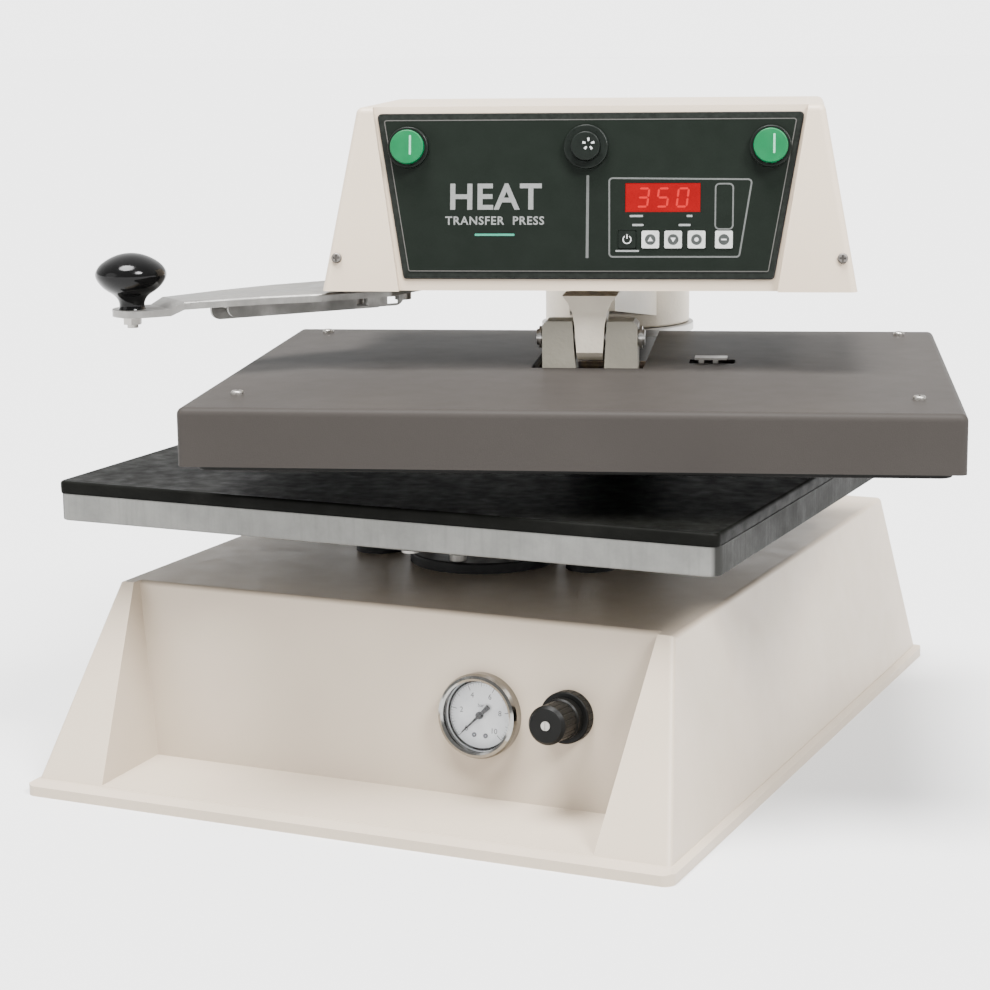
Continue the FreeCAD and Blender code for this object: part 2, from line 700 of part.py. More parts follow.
def console_back():
    deep = console_block(CON_Z + 1, CON_TOP - 1, lambda z: 1 - crease_x(z), lambda z: crease_x(z) - 1, 0, 2)
    return deep.cut(console_block(CON_Z, CON_TOP, lambda z: -200, lambda z: 200, 0, 0))


def face_outline(z_low, z_high, x_low, x_high, z0, z1, r):
    v_low, v_high = face_v(z_low), face_v(z_high)
    points = [(-x_low, v_low), (x_low, v_low), (x_high, v_high), (-x_high, v_high)]
    return soften(slab(points, z0, z1), r, upright)


def face_openings(z0, z1):
    cut = [disc(11.2, z0, z1, x, face_v(BUTTON_Z)) for x in (-START_X, RELEASE_X, START_X)]
    x0, x1, low, high = DISPLAY
    cut.append(block(x0, x1, face_v(low), face_v(high), z0, z1))
    half = KEY_SIDE / 2 + 0.3
    v = face_v(KEY_Z)
    for x in KEYS.values():
        cut.append(block(x - half, x + half, v - half, v + half, z0, z1))
    return cut


def face_plate():
    """Dark panel plate with its label sheet, which stops short of the plate's edge."""
    plate = face_outline(360, 477, 133.5, 154.0, 0, 2.2, 2.5)
    label = face_outline(364.5, 473, 130.6, 149.6, 2.2, 2.7, 1.8)
    plate = plate.fuse(label)
    for cut in face_openings(-1, 3):
        plate = plate.cut(cut)
    return on_face(plate)


def display_window():
    x0, x1, low, high = DISPLAY
    return on_face(block(x0 + 0.2, x1 - 0.2, face_v(low) + 0.2, face_v(high) - 0.2, 0.4, 2.5))


def control_board():
    board = block(16, 118, face_v(376), face_v(432), -8, -6.4)
    x0, x1, low, high = DISPLAY
    parts = [board, block(x0 + 1, x1 - 1, face_v(low) + 1, face_v(high) - 1, -6.4, -0.5)]
    for x in KEYS.values():
        parts.append(block(x - 3, x + 3, face_v(KEY_Z) - 3, face_v(KEY_Z) + 3, -6.4, -2.8))
    return on_face(fused(parts))


def key(x):
    half = KEY_SIDE / 2
    v = face_v(KEY_Z)
    cap = block(x - half, x + half, v - half, v + half, -1.4, 3.3)
    cap = soften(cap, 1.2, lambda e: abs(e.Vertexes[0].Z - e.Vertexes[-1].Z) > 1)
    return on_face(cap)


def bezel(x, r_out, r_cup):
    """Push-button ring: a cup in front of the panel and a threaded barrel behind it."""
    v = face_v(BUTTON_Z)
    cup = soften(disc(r_out, 2.7, 7.5, x, v), 1.0, lambda e: at_height(e, 7.5))
    body = fused([disc(11, -14, 2.7, x, v), cup])
    body = body.cut(disc(r_cup + 0.25, 3.7, 8, x, v)).cut(disc(5.2, -15, 8, x, v))
    return on_face(body)


def button(x, r):
    """Cap on a stem that slides in the bezel's barrel."""
    v = face_v(BUTTON_Z)
    cap = soften(disc(r, 7.9, 12.5, x, v), 1.0, lambda e: at_height(e, 12.5))
    return on_face(fused([cap, disc(5, -13, 7.9, x, v)]))


def contact_blocks():
    v = face_v(BUTTON_Z)
    out = []
    for x in (-START_X, RELEASE_X, START_X):
        body = fused([block(x - 14, x + 14, v - 14, v + 14, -46, -20), disc(14, -20, -12, x, v)])
        body = body.cut(disc(11, -19, -11, x, v))
        out.append(on_face(body))
    return out


def button_bezels():
    return [bezel(-START_X, 15, 12.35), bezel(START_X, 15, 12.35), bezel(RELEASE_X, 16, 10.5)]


def head_screws():
    """Screws of the end cheeks, bolts from the console into the arm, and bolts of the handle."""
    out = [bolt(x, y, CON_Z + CON_SHEET, ARM_TOP - 15.9, 3) for x, y in bracket_bolt_places()]
    out += [bolt(x, y, BAR_Z - 3, CON_Z + 8, 4, up=-1) for x, y in handle_bolt_places()]
    for x in (-183, 183):
        out.append(on_face(pan_screw(x, face_v(373.8), CHEEK_OUT, CHEEK_OUT - 9, 1.9)))
    for y, z in cheek_joint_places():
        for side in (-1, 1):
            screw = pan_screw(0, 0, 0, -8, 2)
            screw.rotate(V(0, 0, 0), V(0, 1, 0), -90 * side)
            screw.translate(V(side * (crease_x(z) - CON_SHEET - 0.7), y, z))
            out.append(screw)
    return out


# ---------------------------------------------------------------- handle

def at_tip(shape):
    """Place a shape drawn about the centre of the pad's rounding, with +X towards the bar."""
    out = shape.copy()
    out.rotate(V(0, 0, 0), V(0, 0, 1), TIP_TURN)
    out.translate(V(TIP_X, TIP_Y, 0))
    return out


def handle_arm():
    """Tapered plate under the console, stepped down to a round pad for the knob."""
    turn = math.radians(TIP_TURN)
    tip = []
    for v in (-20, 20):
        tip.append((TIP_X + 27 * math.cos(turn) - v * math.sin(turn),
                    TIP_Y + 27 * math.sin(turn) + v * math.cos(turn)))
    outline = [(-279, -280), (-248, -243), (-212, -212), (-150, -165), (-118, -188), (-150, -268),
               (-196, -303), (-238, -323), (-272, -346)]
    bar = slab(tip[1:] + outline + tip[:1], BAR_Z, BAR_TOP)
    bar = soften(bar, 1.8, lambda e: at_height(e, BAR_TOP) and abs(e.Length - 40) > 0.01)
    pad = disc(19, PAD_Z, PAD_Z + 5).fuse(block(0, 17, -19, 19, PAD_Z, PAD_Z + 5))
    pad = pad.cut(disc(4, PAD_Z - 1, PAD_Z + 6, -STUD_OUT, 0))
    low = [(17, -19, PAD_Z), (17, 19, PAD_Z), (27, 20, BAR_Z), (27, -20, BAR_Z)]
    high = [(17, -19, PAD_Z + 5), (17, 19, PAD_Z + 5), (27, 20, BAR_TOP), (27, -20, BAR_TOP)]
    arm = fused([bar, at_tip(pad), at_tip(hexahedron(low, high))])
    for x, y in handle_bolt_places():
        arm = arm.cut(disc(4.2, BAR_Z - 1, BAR_TOP + 1, x, y))
    return arm


def handle_bolt_places():
    return [(-182, -245), (-150, -215)]


def handle_bracket():
    """Channel under the bar: a flat web against it and a leg down each side, the front one cut out."""
    a = (-262, -323)
    b = (-146, -236)
    length = math.hypot(b[0] - a[0], b[1] - a[1])
    flat = soften(block(0, length, 0, 34, BAR_Z - 3, BAR_Z), 8, upright)
    leg = block(0, length, 0, 3, 332, BAR_Z)
    leg = soften(leg, 7, lambda e: at_height(e, 332) and abs(e.Length - 3) < 1e-6)
    leg = leg.cut(block(length - 40, length - 31, -1, 4, 333.5, BAR_Z - 3))
    leg = leg.cut(block(length - 14, length - 4, -1, 4, 333.5, BAR_Z - 3))
    rear = block(0, length, 31, 34, 327.5, BAR_Z)
    rear = soften(rear, 7, lambda e: at_height(e, 327.5) and abs(e.Length - 3) < 1e-6)
    body = fused([flat, leg, rear])
    body.rotate(V(0, 0, 0), V(0, 0, 1), math.degrees(math.atan2(b[1] - a[1], b[0] - a[0])))
    body.translate(V(a[0], a[1], 0))
    for x, y in handle_bolt_places():
        body = body.cut(disc(4.2, BAR_Z - 4, BAR_Z + 1, x, y))
    return body


def handle_knob():
    outline = [(9.9, 0), (9.1, 4), (12, 9.5), (17, 13), (23.9, 20), (25.6, 25), (23.2, 30.6),
               (17.2, 35.5), (7, 39.6)]
    curve = Part.BSplineCurve()
    curve.interpolate([V(r, 0, z) for r, z in outline] + [V(0, 0, 40.4)])
    axis = Part.makePolygon([V(0, 0, 40.4), V(0, 0, 0), V(9.9, 0, 0)])
    face = Part.Face(Part.Wire([curve.toShape()] + axis.Edges))
    knob = face.revolve(V(0, 0, 0), V(0, 0, 1), 360)
    knob = knob.cut(disc(4, -1, 18))
    return at_tip(moved(knob, -STUD_OUT, 0, PAD_Z + 5))


def handle_stud():
    nut = hexagon(12, PAD_Z - 6, PAD_Z - 1.2)
    washer = disc(8.5, PAD_Z - 1.2, PAD_Z)
    return at_tip(moved(fused([disc(4, PAD_Z - 8.5, PAD_Z + 22.9), nut, washer]), -STUD_OUT))


# ---------------------------------------------------------------- heated platen

def clevis():
    base = rounded_plate(120, 90, HEAT_TOP, HEAT_TOP + 9.3, 6, 0, YC)
    parts = [base]
    for side in (-1, 1):
        z0 = HEAT_TOP + 5
        inner = 12.8 + (z0 - EAR_TOP) * 0.06
        outline = [(side * inner, z0), (side * EAR_X, z0), (side * EAR_X, EAR_TOP - 3),
                   (side * (EAR_X - 3), EAR_TOP), (side * 12.8, EAR_TOP)]
        ear = slab(outline, 0, 26)
        ear.rotate(V(0, 0, 0), V(1, 0, 0), 90)
        ear.translate(V(0, PIN_Y + 13, 0))
        parts.append(ear)
    body = fused(parts)
    body = body.cut(Part.makeCylinder(PIN_R, 100, V(-50, PIN_Y, PIN_Z), V(1, 0, 0)))
    for x, y in clevis_bolt_places():
        body = body.cut(disc(4, HEAT_TOP - 1, HEAT_TOP + 10, x, y))
    return body


def clevis_bolt_places():
    return [(x, YC + y) for x in (-51, 51) for y in (-34, 34)]


def pivot_pin():
    """Pin through the ears, with a clip at each end."""
    out = [Part.makeCylinder(PIN_R, 80, V(-40, PIN_Y, PIN_Z), V(1, 0, 0))]
    for x in (-38.2, 36.4):
        clip = Part.makeCylinder(8.2, 1.8, V(x, PIN_Y, PIN_Z), V(1, 0, 0))
        out.append(clip.cut(Part.makeCylinder(PIN_R, 4, V(x - 1, PIN_Y, PIN_Z), V(1, 0, 0))))
    return out


def heat_platen():
    plate = rounded_plate(PLATEN_W, PLATEN_D, HEAT_Z, HEAT_TOP, PLATEN_CORNER_R, 0, YC)
    plate = soften(plate, 1.0, lambda e: at_height(e, HEAT_Z))
    for x, y in clevis_bolt_places():
        plate = plate.cut(disc(4, HEAT_TOP - 12, HEAT_TOP + 1, x, y))
    for x, y in COVER_SCREWS:
        plate = plate.cut(disc(3, HEAT_TOP - 8, HEAT_TOP + 1, x, y))
    return plate


def heating_element():
    """One tube folded round the plate, both ends at the right."""
    z = HEAT_TOP + 4.3
    r = 32.5
    parts = []
    for side in (-1, 1):
        near, far = YC + side * 85, YC + side * 150
        parts.append(Part.makeCylinder(4.2, 360, V(-170, near, z), V(1, 0, 0)))
        parts.append(Part.makeCylinder(4.2, 350, V(-170, far, z), V(1, 0, 0)))
        bend = Part.makeTorus(r, 4.2, V(-170, YC + side * 117.5, z), V(0, 0, 1))
        parts.append(bend.common(block(-220, -170, YC - 260, YC + 260, z - 6, z + 6)))
        corner = Part.makeTorus(r, 4.2, V(180, YC + side * 117.5, z), V(0, 0, 1))
        low, high = sorted((YC + side * 117.5, YC + side * 160))
        parts.append(corner.common(block(180, 230, low, high, z - 6, z + 6)))
    parts.append(Part.makeCylinder(4.2, 235, V(180 + r, YC - 117.5, z), V(0, 1, 0)))
    return fused(parts)


def platen_fixings():
    """Bolts of the clevis and the posts that hold up the cover."""
    out = [bolt(x, y, HEAT_TOP + 9.3, HEAT_TOP - 11.9, 4) for x, y in clevis_bolt_places()]
    for x, y in COVER_SCREWS:
        spacer = hexagon(12, HEAT_TOP, COVER_TOP - COVER_SHEET, x, y)
        spacer = fused([spacer, disc(3, HEAT_TOP - 7.9, HEAT_TOP, x, y)])
        out.append(spacer.cut(disc(2.2, COVER_TOP - 14, COVER_TOP, x, y)))
    return out


def cover_screws():
    return [pan_screw(x, y, COVER_TOP, COVER_TOP - 13.5, 2.2) for x, y in COVER_SCREWS]


def insulation():
    sheet = block(-250, 250, YC - 198, YC + 198, HEAT_TOP + 10.5, COVER_TOP - 3)
    sheet = sheet.cut(block(-66, 66, YC - 51, YC + 51, HEAT_TOP, COVER_TOP))
    sheet = sheet.cut(block(-46, 46, YC, YC + 200, HEAT_TOP, COVER_TOP))
    sheet = sheet.cut(block(66, 112, YC + 10, YC + 44, HEAT_TOP, COVER_TOP))
    for x, y in COVER_SCREWS:
        sheet = sheet.cut(disc(9, HEAT_TOP, COVER_TOP, x, y))
    return soften(sheet, 3, lambda e: upright(e) and abs(e.Vertexes[0].X) > 240)


def sensor():
    """Thermostat on the plate, with a strap that stands out of the opening in the cover."""
    body = soften(block(74, 104, YC + 17, YC + 37, HEAT_TOP, HEAT_TOP + 16), 1.5, upright)
    top = block(76, 100, YC + 20, YC + 34, STRAP_TOP - 1.5, STRAP_TOP)
    legs = [block(x, x + 4, YC + 20, YC + 21.5, HEAT_TOP + 16, STRAP_TOP - 1.5) for x in (79, 89.5)]
    return [body, fused([top] + legs)]


def platen_cover():
    outer = block(-COVER_W / 2, COVER_W / 2, YC - COVER_D / 2, YC + COVER_D / 2, COVER_Z, COVER_TOP)
    outer = soften(outer, 5, lambda e: upright(e) or at_height(e, COVER_TOP))
    t = COVER_SHEET
    inner = block(-COVER_W / 2 + t, COVER_W / 2 - t, YC - COVER_D / 2 + t, YC + COVER_D / 2 - t, COVER_Z - 5,
                  COVER_TOP - t)
    inner = soften(inner, 3.5, lambda e: upright(e) or at_height(e, COVER_TOP - t))
    cover = outer.cut(inner)
    cover = cover.cut(block(NOTCH_LEFT, NOTCH_RIGHT, NOTCH_Y, YC + COVER_D, COVER_Z - 1, COVER_TOP + 1))
    cover = cover.cut(soften(block(72, 106, YC + 16, YC + 38, COVER_TOP - 5, COVER_TOP + 5), 2, upright))
    for x, y in COVER_SCREWS:
        cover = cover.cut(disc(2.2, COVER_TOP - 5, COVER_TOP + 1, x, y))
    return cover


# ---------------------------------------------------------------- assembly

def base_nodes():
    return {
        "base_pan": base_pan(), "base_shell": base_shell(), "base_frame": base_frame(), "post": post(),
        "base_bolts": base_bolts(), "post_collars": post_collars(), "lift_cylinder": lift_cylinder(),
        "lift_bushings": lift_bushings(), "gauge_case": gauge_case(), "gauge_bezel": gauge_bezel(),
        "gauge_dial": gauge_dial(), "gauge_lens": gauge_lens(), "gauge_needle": gauge_needle(),
        "regulator_body": regulator_body(), "regulator_nut": regulator_nut(),
        "regulator_knob": regulator_knob(), "knob_screw": knob_screw(), "solenoid_valve": solenoid_valve(),
        "air_hoses": air_hoses(), "air_inlet": air_inlet(), "cord_gland": cord_gland(),
        "table_ram": table_ram(), "table_bracket": table_bracket(), "table_bolts": table_bolts(),
        "lower_platen": lower_platen(), "platen_pad": platen_pad(),
    }


def head_nodes():
    nodes = {
        "swing_arm": swing_arm(), "hub_bushings": hub_bushings(), "hub_cap": hub_cap(),
        "console_chassis": console_chassis(), "console_cheek_left": console_cheek(-1),
        "console_cheek_right": console_cheek(1), "console_back": console_back(),
        "head_screws": head_screws(), "face_plate": face_plate(), "display_window": display_window(),
        "control_board": control_board(), "button_bezels": button_bezels(),
        "contact_blocks": contact_blocks(), "start_button_left": button(-START_X, 12.35),
        "start_button_right": button(START_X, 12.35), "release_button": button(RELEASE_X, 10.5),
        "handle_arm": handle_arm(), "handle_bracket": handle_bracket(), "handle_knob": handle_knob(),
        "handle_stud": handle_stud(), "clevis": clevis(), "pivot_pin": pivot_pin(),
        "heat_platen": heat_platen(), "heating_element": heating_element(),
        "platen_fixings": platen_fixings(), "cover_screws": cover_screws(), "insulation": insulation(),
        "sensor": sensor(), "platen_cover": platen_cover(),
    }
    for name, x in KEYS.items():
        nodes[name] = key(x)
    return nodes


def swung(shape):
    out = shape.copy()
    out.rotate(V(0, 0, 0), V(0, 0, 1), HEAD_SWING)
    out.translate(V(0, POST_Y, 0))
    return out


def joined(made):
    return Part.Compound(made) if isinstance(made, list) else made


def main():
    os.makedirs("parts", exist_ok=True)
    for name, made in base_nodes().items():
        joined(made).exportStep("parts/" + name + ".step")
    for name, made in head_nodes().items():
        swung(joined(made)).exportStep("parts/" + name + ".step")


main()
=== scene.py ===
"""Looks of the swing-away heat press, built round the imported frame. Lengths are metres."""
import json
import math

import bmesh
import bpy
from mathutils import Matrix, Vector, noise


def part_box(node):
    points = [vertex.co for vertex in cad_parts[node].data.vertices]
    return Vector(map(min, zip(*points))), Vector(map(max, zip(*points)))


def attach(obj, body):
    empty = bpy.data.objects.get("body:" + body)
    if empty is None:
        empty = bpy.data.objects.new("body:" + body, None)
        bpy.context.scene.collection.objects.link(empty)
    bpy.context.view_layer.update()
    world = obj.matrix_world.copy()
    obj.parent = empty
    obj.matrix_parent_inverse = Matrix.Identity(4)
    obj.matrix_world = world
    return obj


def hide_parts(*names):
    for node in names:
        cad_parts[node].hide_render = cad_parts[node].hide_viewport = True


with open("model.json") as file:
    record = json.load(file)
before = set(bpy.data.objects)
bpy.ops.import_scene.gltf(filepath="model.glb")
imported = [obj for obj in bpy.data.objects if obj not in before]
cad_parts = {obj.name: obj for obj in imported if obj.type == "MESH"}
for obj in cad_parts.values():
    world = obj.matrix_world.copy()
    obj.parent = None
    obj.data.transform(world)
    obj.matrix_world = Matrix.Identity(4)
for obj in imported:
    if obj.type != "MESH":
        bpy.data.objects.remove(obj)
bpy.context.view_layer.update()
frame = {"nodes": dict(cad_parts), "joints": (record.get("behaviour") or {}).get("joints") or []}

NODES = frame["nodes"]
JOINTS = {joint["name"]: joint for joint in frame["joints"]}
MM = 0.001

# ---- places: sizes that the CAD has too, and planes found from the frame ----
DISPLAY_X = 54.25           # the display's centre, from the console's middle, in mm
DISPLAY_Z = 417.2           # and above the bench
LABEL_OVER_DISPLAY = 1.25   # front of the label, in front of the display window's middle
FACE_LEAN = 9.0             # degrees that the console's face leans back
FACE_SLANT = math.cos(math.radians(FACE_LEAN))
KEY_HALF_DEEP = 2.35        # from a key's middle to its front
PLATEN_SIDE_AT = 0.2515     # from here outward a platen's edge gets painted shade, in metres
DIAL_FACE = 2.0             # from the needle's joint to the front of the gauge's dial, in mm
SCALE_R = 22.6              # outer radius of the gauge's scale
SCALE_START = 225           # where the scale starts, in degrees counter-clockwise from the right
SCALE_SWEEP = 270           # and how far it runs clockwise
NUMBER_R = 14.8             # distance of the scale's numbers from the middle, in mm
PRINT = 0.09                # thickness of a printed mark, in mm


def centre(node):
    low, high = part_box(node)
    return (Vector(low) + Vector(high)) / 2


class Plane:
    """A flat place to draw on: right, up and out, with lengths in mm from an origin in metres."""

    def __init__(self, origin, right, out):
        self.origin = Vector(origin)
        self.right = Vector(right).normalized()
        self.out = Vector(out).normalized()
        self.up = self.out.cross(self.right)

    def at(self, u, v, w):
        return self.origin + (self.right * u + self.up * v + self.out * w) * MM

    def moved(self, u, v, w=0.0):
        return Plane(self.at(u, v, w), self.right, self.out)


HEAD_RIGHT = Vector(JOINTS["platen_tilt"]["axis"])
FACE_OUT = -Vector(JOINTS["key_up_press"]["axis"])
FACE = Plane(centre("display_window"), HEAD_RIGHT, FACE_OUT).moved(0, 0, LABEL_OVER_DISPLAY)
DIAL = Plane(JOINTS["needle_sweep"]["pos_m"], (1, 0, 0), -Vector(JOINTS["needle_sweep"]["axis"]))


def on_label(points):
    """Head coordinates (across, above the bench) turned into the label's own."""
    return [(x - DISPLAY_X, (z - DISPLAY_Z) / FACE_SLANT) for x, z in points]


# ---- materials ----

class Surface:
    """One material being put together from nodes."""

    def __init__(self, name, colour, rough, metallic=0.0, **sockets):
        self.material = bpy.data.materials.new(name)
        self.material.use_nodes = True
        self.tree = self.material.node_tree
        self.shader = self.tree.nodes["Principled BSDF"]
        self.colour = colour
        self.rough = rough
        self.set("Base Color", (*colour, 1))
        self.set("Roughness", rough)
        self.set("Metallic", metallic)
        for socket, value in sockets.items():
            self.set(socket.replace("_", " "), value)
        self.place = self.node("ShaderNodeTexCoord").outputs["Object"]

    def set(self, socket, value):
        self.shader.inputs[socket].default_value = value

    def node(self, kind, **settings):
        made = self.tree.nodes.new(kind)
        for key, value in settings.items():
            setattr(made, key, value)
        return made

    def feed(self, source, target):
        if hasattr(source, "is_output"):
            self.tree.links.new(source, target)
        else:
            target.default_value = source

    def stretched(self, by):
        mapping = self.node("ShaderNodeMapping")
        self.feed(self.place, mapping.inputs["Vector"])
        mapping.inputs["Scale"].default_value = by
        return mapping.outputs["Vector"]

    def noise(self, scale, detail=3.0, stretch=None, spread=0.5):
        made = self.node("ShaderNodeTexNoise")
        self.feed(self.stretched(stretch) if stretch else self.place, made.inputs["Vector"])
        made.inputs["Scale"].default_value = scale
        made.inputs["Detail"].default_value = detail
        made.inputs["Roughness"].default_value = spread
        return made.outputs["Fac"]

    def cells(self, scale, stretch=None):
        made = self.node("ShaderNodeTexVoronoi")
        self.feed(self.stretched(stretch) if stretch else self.place, made.inputs["Vector"])
        made.inputs["Scale"].default_value = scale
        return made.outputs["Distance"]

    def span(self, value, low, high, to_low, to_high):
        made = self.node("ShaderNodeMapRange")
        self.feed(value, made.inputs["Value"])
        for socket, number in zip(("From Min", "From Max", "To Min", "To Max"), (low, high, to_low, to_high)):
            made.inputs[socket].default_value = number
        return made.outputs["Result"]

    def maths(self, operation, a, b=0.0):
        made = self.node("ShaderNodeMath", operation=operation)
        self.feed(a, made.inputs[0])
        self.feed(b, made.inputs[1])
        return made.outputs["Value"]

    def blend(self, share, a, b):
        made = self.node("ShaderNodeMix", data_type="RGBA")
        self.feed(share, made.inputs["Factor"])
        for socket, colour in ((made.inputs["A"], a), (made.inputs["B"], b)):
            self.feed(colour if hasattr(colour, "is_output") else (*colour, 1), socket)
        return made.outputs["Result"]

    def edges(self, radius, gain=6.0):
        """Near 1 on sharp edges and 0 on flats."""
        bevel = self.node("ShaderNodeBevel", samples=4)
        bevel.inputs["Radius"].default_value = radius
        flat = self.node("ShaderNodeNewGeometry").outputs["Normal"]
        dot = self.node("ShaderNodeVectorMath", operation="DOT_PRODUCT")
        self.feed(bevel.outputs["Normal"], dot.inputs[0])
        self.feed(flat, dot.inputs[1])
        away = self.maths("SUBTRACT", 1.0, dot.outputs["Value"])
        return self.maths("MINIMUM", self.maths("MULTIPLY", away, gain), 1.0)

    def bump(self, *layers):
        """Each layer is (height, strength, distance)."""
        normal = None
        for height, strength, distance in layers:
            made = self.node("ShaderNodeBump")
            made.inputs["Strength"].default_value = strength
            made.inputs["Distance"].default_value = distance
            self.feed(height, made.inputs["Height"])
            if normal:
                self.feed(normal, made.inputs["Normal"])
            normal = made.outputs["Normal"]
        self.feed(normal, self.shader.inputs["Normal"])

    def paint_with(self, colour):
        self.feed(colour, self.shader.inputs["Base Color"])

    def roughen(self, value):
        self.feed(value, self.shader.inputs["Roughness"])


def shade(colour, by):
    return tuple(min(1.0, c * by) for c in colour)


def painted(name, colour, rough=0.38, peel=0.12, wear_and_highlight=0.25, mottle=0.06, wave=0.05, **sockets):
    """Sprayed or powder-coated sheet: orange peel, faint mottling, edges a little lighter, part rubbed wear
    and part painted highlight.
    """
    s = Surface(name, colour, rough, **sockets)
    wide = s.noise(9.0, 2.0)
    base = s.blend(s.span(wide, 0.3, 0.7, 0, 1), shade(colour, 1 - mottle), shade(colour, 1 + mottle / 2))
    speck = s.span(s.noise(2600.0, 2.0), 0.62, 0.75, 0, 0.35)
    base = s.blend(speck, base, shade(colour, 0.82))
    # Edges lighter: part rubbed wear, part painted highlight on the bends.
    s.paint_with(s.blend(s.maths("MULTIPLY", s.edges(0.0009), wear_and_highlight), base, shade(colour, 1.35)))
    s.roughen(s.span(s.noise(60.0, 4.0), 0.3, 0.7, rough - wave, rough + wave))
    s.bump((s.noise(1100.0, 2.0), peel, 0.0004), (s.noise(14.0, 1.0), wave, 0.0015))
    return s.material


def cast_painted(name, colour, rough=0.5):
    """Sand casting under thick paint."""
    s = Surface(name, colour, rough)
    wide = s.span(s.noise(28.0, 4.0), 0.3, 0.7, 0, 1)
    base = s.blend(wide, shade(colour, 0.86), shade(colour, 1.06))
    pits = s.span(s.cells(420.0), 0.0, 0.12, 1, 0)
    base = s.blend(s.maths("MULTIPLY", pits, 0.35), base, shade(colour, 0.62))
    # Edges lighter: part worn paint, part painted highlight.
    s.paint_with(s.blend(s.maths("MULTIPLY", s.edges(0.0012), 0.35), base, shade(colour, 1.25)))
    s.roughen(s.span(wide, 0, 1, rough - 0.08, rough + 0.1))
    s.bump((s.noise(330.0, 5.0), 0.45, 0.0007), (s.noise(42.0, 2.0), 0.2, 0.002))
    return s.material


def bare_metal(name, colour, rough=0.3, stretch=(1, 1, 1), lines=700.0, groove=0.1, stain=0.1, **sockets):
    """Ground, turned or plated metal with tool lines along one direction."""
    s = Surface(name, colour, rough, 1.0, **sockets)
    grain = s.noise(lines, 4.0, stretch)
    patch = s.span(s.noise(35.0, 4.0), 0.35, 0.7, 0, stain)
    base = s.blend(s.span(grain, 0.3, 0.7, 0, 1), shade(colour, 0.88), shade(colour, 1.08))
    s.paint_with(s.blend(patch, base, shade(colour, 0.55)))
    dull = s.maths("MULTIPLY", patch, 0.8)
    s.roughen(s.maths("ADD", s.span(grain, 0.3, 0.7, rough - 0.06, rough + 0.08), dull))
    s.bump((grain, groove, 0.0003))
    return s.material


def cast_aluminium(name, colour, rough=0.45, shaded_sides=False, metallic=0.55, spec=0.5):
    """Platen plate: sawn edges with oxide blotches, edges darkened as painted shade and reflection, and
    painted shade on the sides when that flag is set.
    """
    s = Surface(name, colour, rough, metallic, Specular_IOR_Level=spec)
    saw = s.noise(240.0, 5.0, (1, 1, 0.08))
    cloud = s.noise(38.0, 5.0, None, 0.65)
    base = s.blend(s.span(cloud, 0.32, 0.68, 0, 1), shade(colour, 0.72), shade(colour, 1.12))
    base = s.blend(s.span(saw, 0.5, 0.8, 0, 0.5), base, shade(colour, 0.6))
    # Painted shade: outside PLATEN_SIDE_AT the sides go dark and lose their shine, as in the cover's shadow.
    if shaded_sides:
        apart = s.node("ShaderNodeSeparateXYZ")
        s.feed(s.place, apart.inputs[0])
        side = s.span(s.maths("ABSOLUTE", apart.outputs["X"]), PLATEN_SIDE_AT - 3 * MM, PLATEN_SIDE_AT, 0, 1)
        base = s.blend(side, base, shade(colour, 0.16))
        s.feed(s.span(side, 0, 1, metallic, 0), s.shader.inputs["Metallic"])
        s.feed(s.span(side, 0, 1, spec, 0.02), s.shader.inputs["Specular IOR Level"])
    # Edges darkened: painted shade and painted reflection of the dark floor on rounded edges.
    s.paint_with(s.blend(s.maths("MULTIPLY", s.edges(0.0016), 0.9), base, shade(colour, 0.25)))
    s.roughen(s.span(cloud, 0.3, 0.7, rough - 0.08, rough + 0.14))
    s.bump((saw, 0.35, 0.0006), (s.noise(900.0, 3.0), 0.25, 0.0004))
    return s.material


def plastic(name, colour, rough=0.35, grain=1500.0, depth=0.06, wear_and_highlight=0.2, **sockets):
    """Moulded plastic with a fine spark-eroded grain and edges a little lighter, part rubbed wear and part
    painted highlight.
    """
    s = Surface(name, colour, rough, **sockets)
    patch = s.span(s.noise(55.0, 3.0), 0.35, 0.65, 0, 1)
    base = s.blend(patch, shade(colour, 0.88), shade(colour, 1.1))
    # Edges lighter: part rubbed wear, part painted highlight.
    s.paint_with(s.blend(s.maths("MULTIPLY", s.edges(0.0005), wear_and_highlight), base, shade(colour, 1.6)))
    s.roughen(s.span(s.noise(180.0, 3.0), 0.3, 0.7, rough - 0.05, rough + 0.08))
    s.bump((s.noise(grain, 2.0), depth, 0.0003))
    return s.material


def ink(name, colour, rough=0.5, **sockets):
    """Screen-printed ink: thin, a little uneven."""
    s = Surface(name, colour, rough, **sockets)
    thin = s.span(s.noise(900.0, 3.0), 0.35, 0.7, 0, 1)
    s.paint_with(s.blend(thin, shade(colour, 0.86), shade(colour, 1.05)))
    s.roughen(s.span(s.noise(400.0, 2.0), 0.3, 0.7, rough - 0.06, rough + 0.06))
    s.bump((s.noise(2500.0, 1.0), 0.05, 0.0001))
    return s.material


def silicone_sheet():
    """Black sponge pad with a smooth, faintly dusty skin."""
    colour = (0.0030, 0.0031, 0.0026)
    s = Surface("pad silicone", colour, 0.5, Specular_IOR_Level=0.03)
    dust = s.span(s.noise(24.0, 6.0, None, 0.6), 0.42, 0.75, 0, 0.5)
    scuff = s.span(s.noise(60.0, 5.0, (1, 0.12, 1)), 0.6, 0.8, 0, 0.3)
    s.paint_with(s.blend(s.maths("ADD", dust, scuff), colour, (0.009, 0.009, 0.008)))
    s.roughen(s.span(s.noise(90.0, 5.0), 0.3, 0.7, 0.42, 0.58))
    s.bump((s.noise(1700.0, 3.0), 0.16, 0.0004), (s.cells(900.0), 0.05, 0.0003))
    return s.material


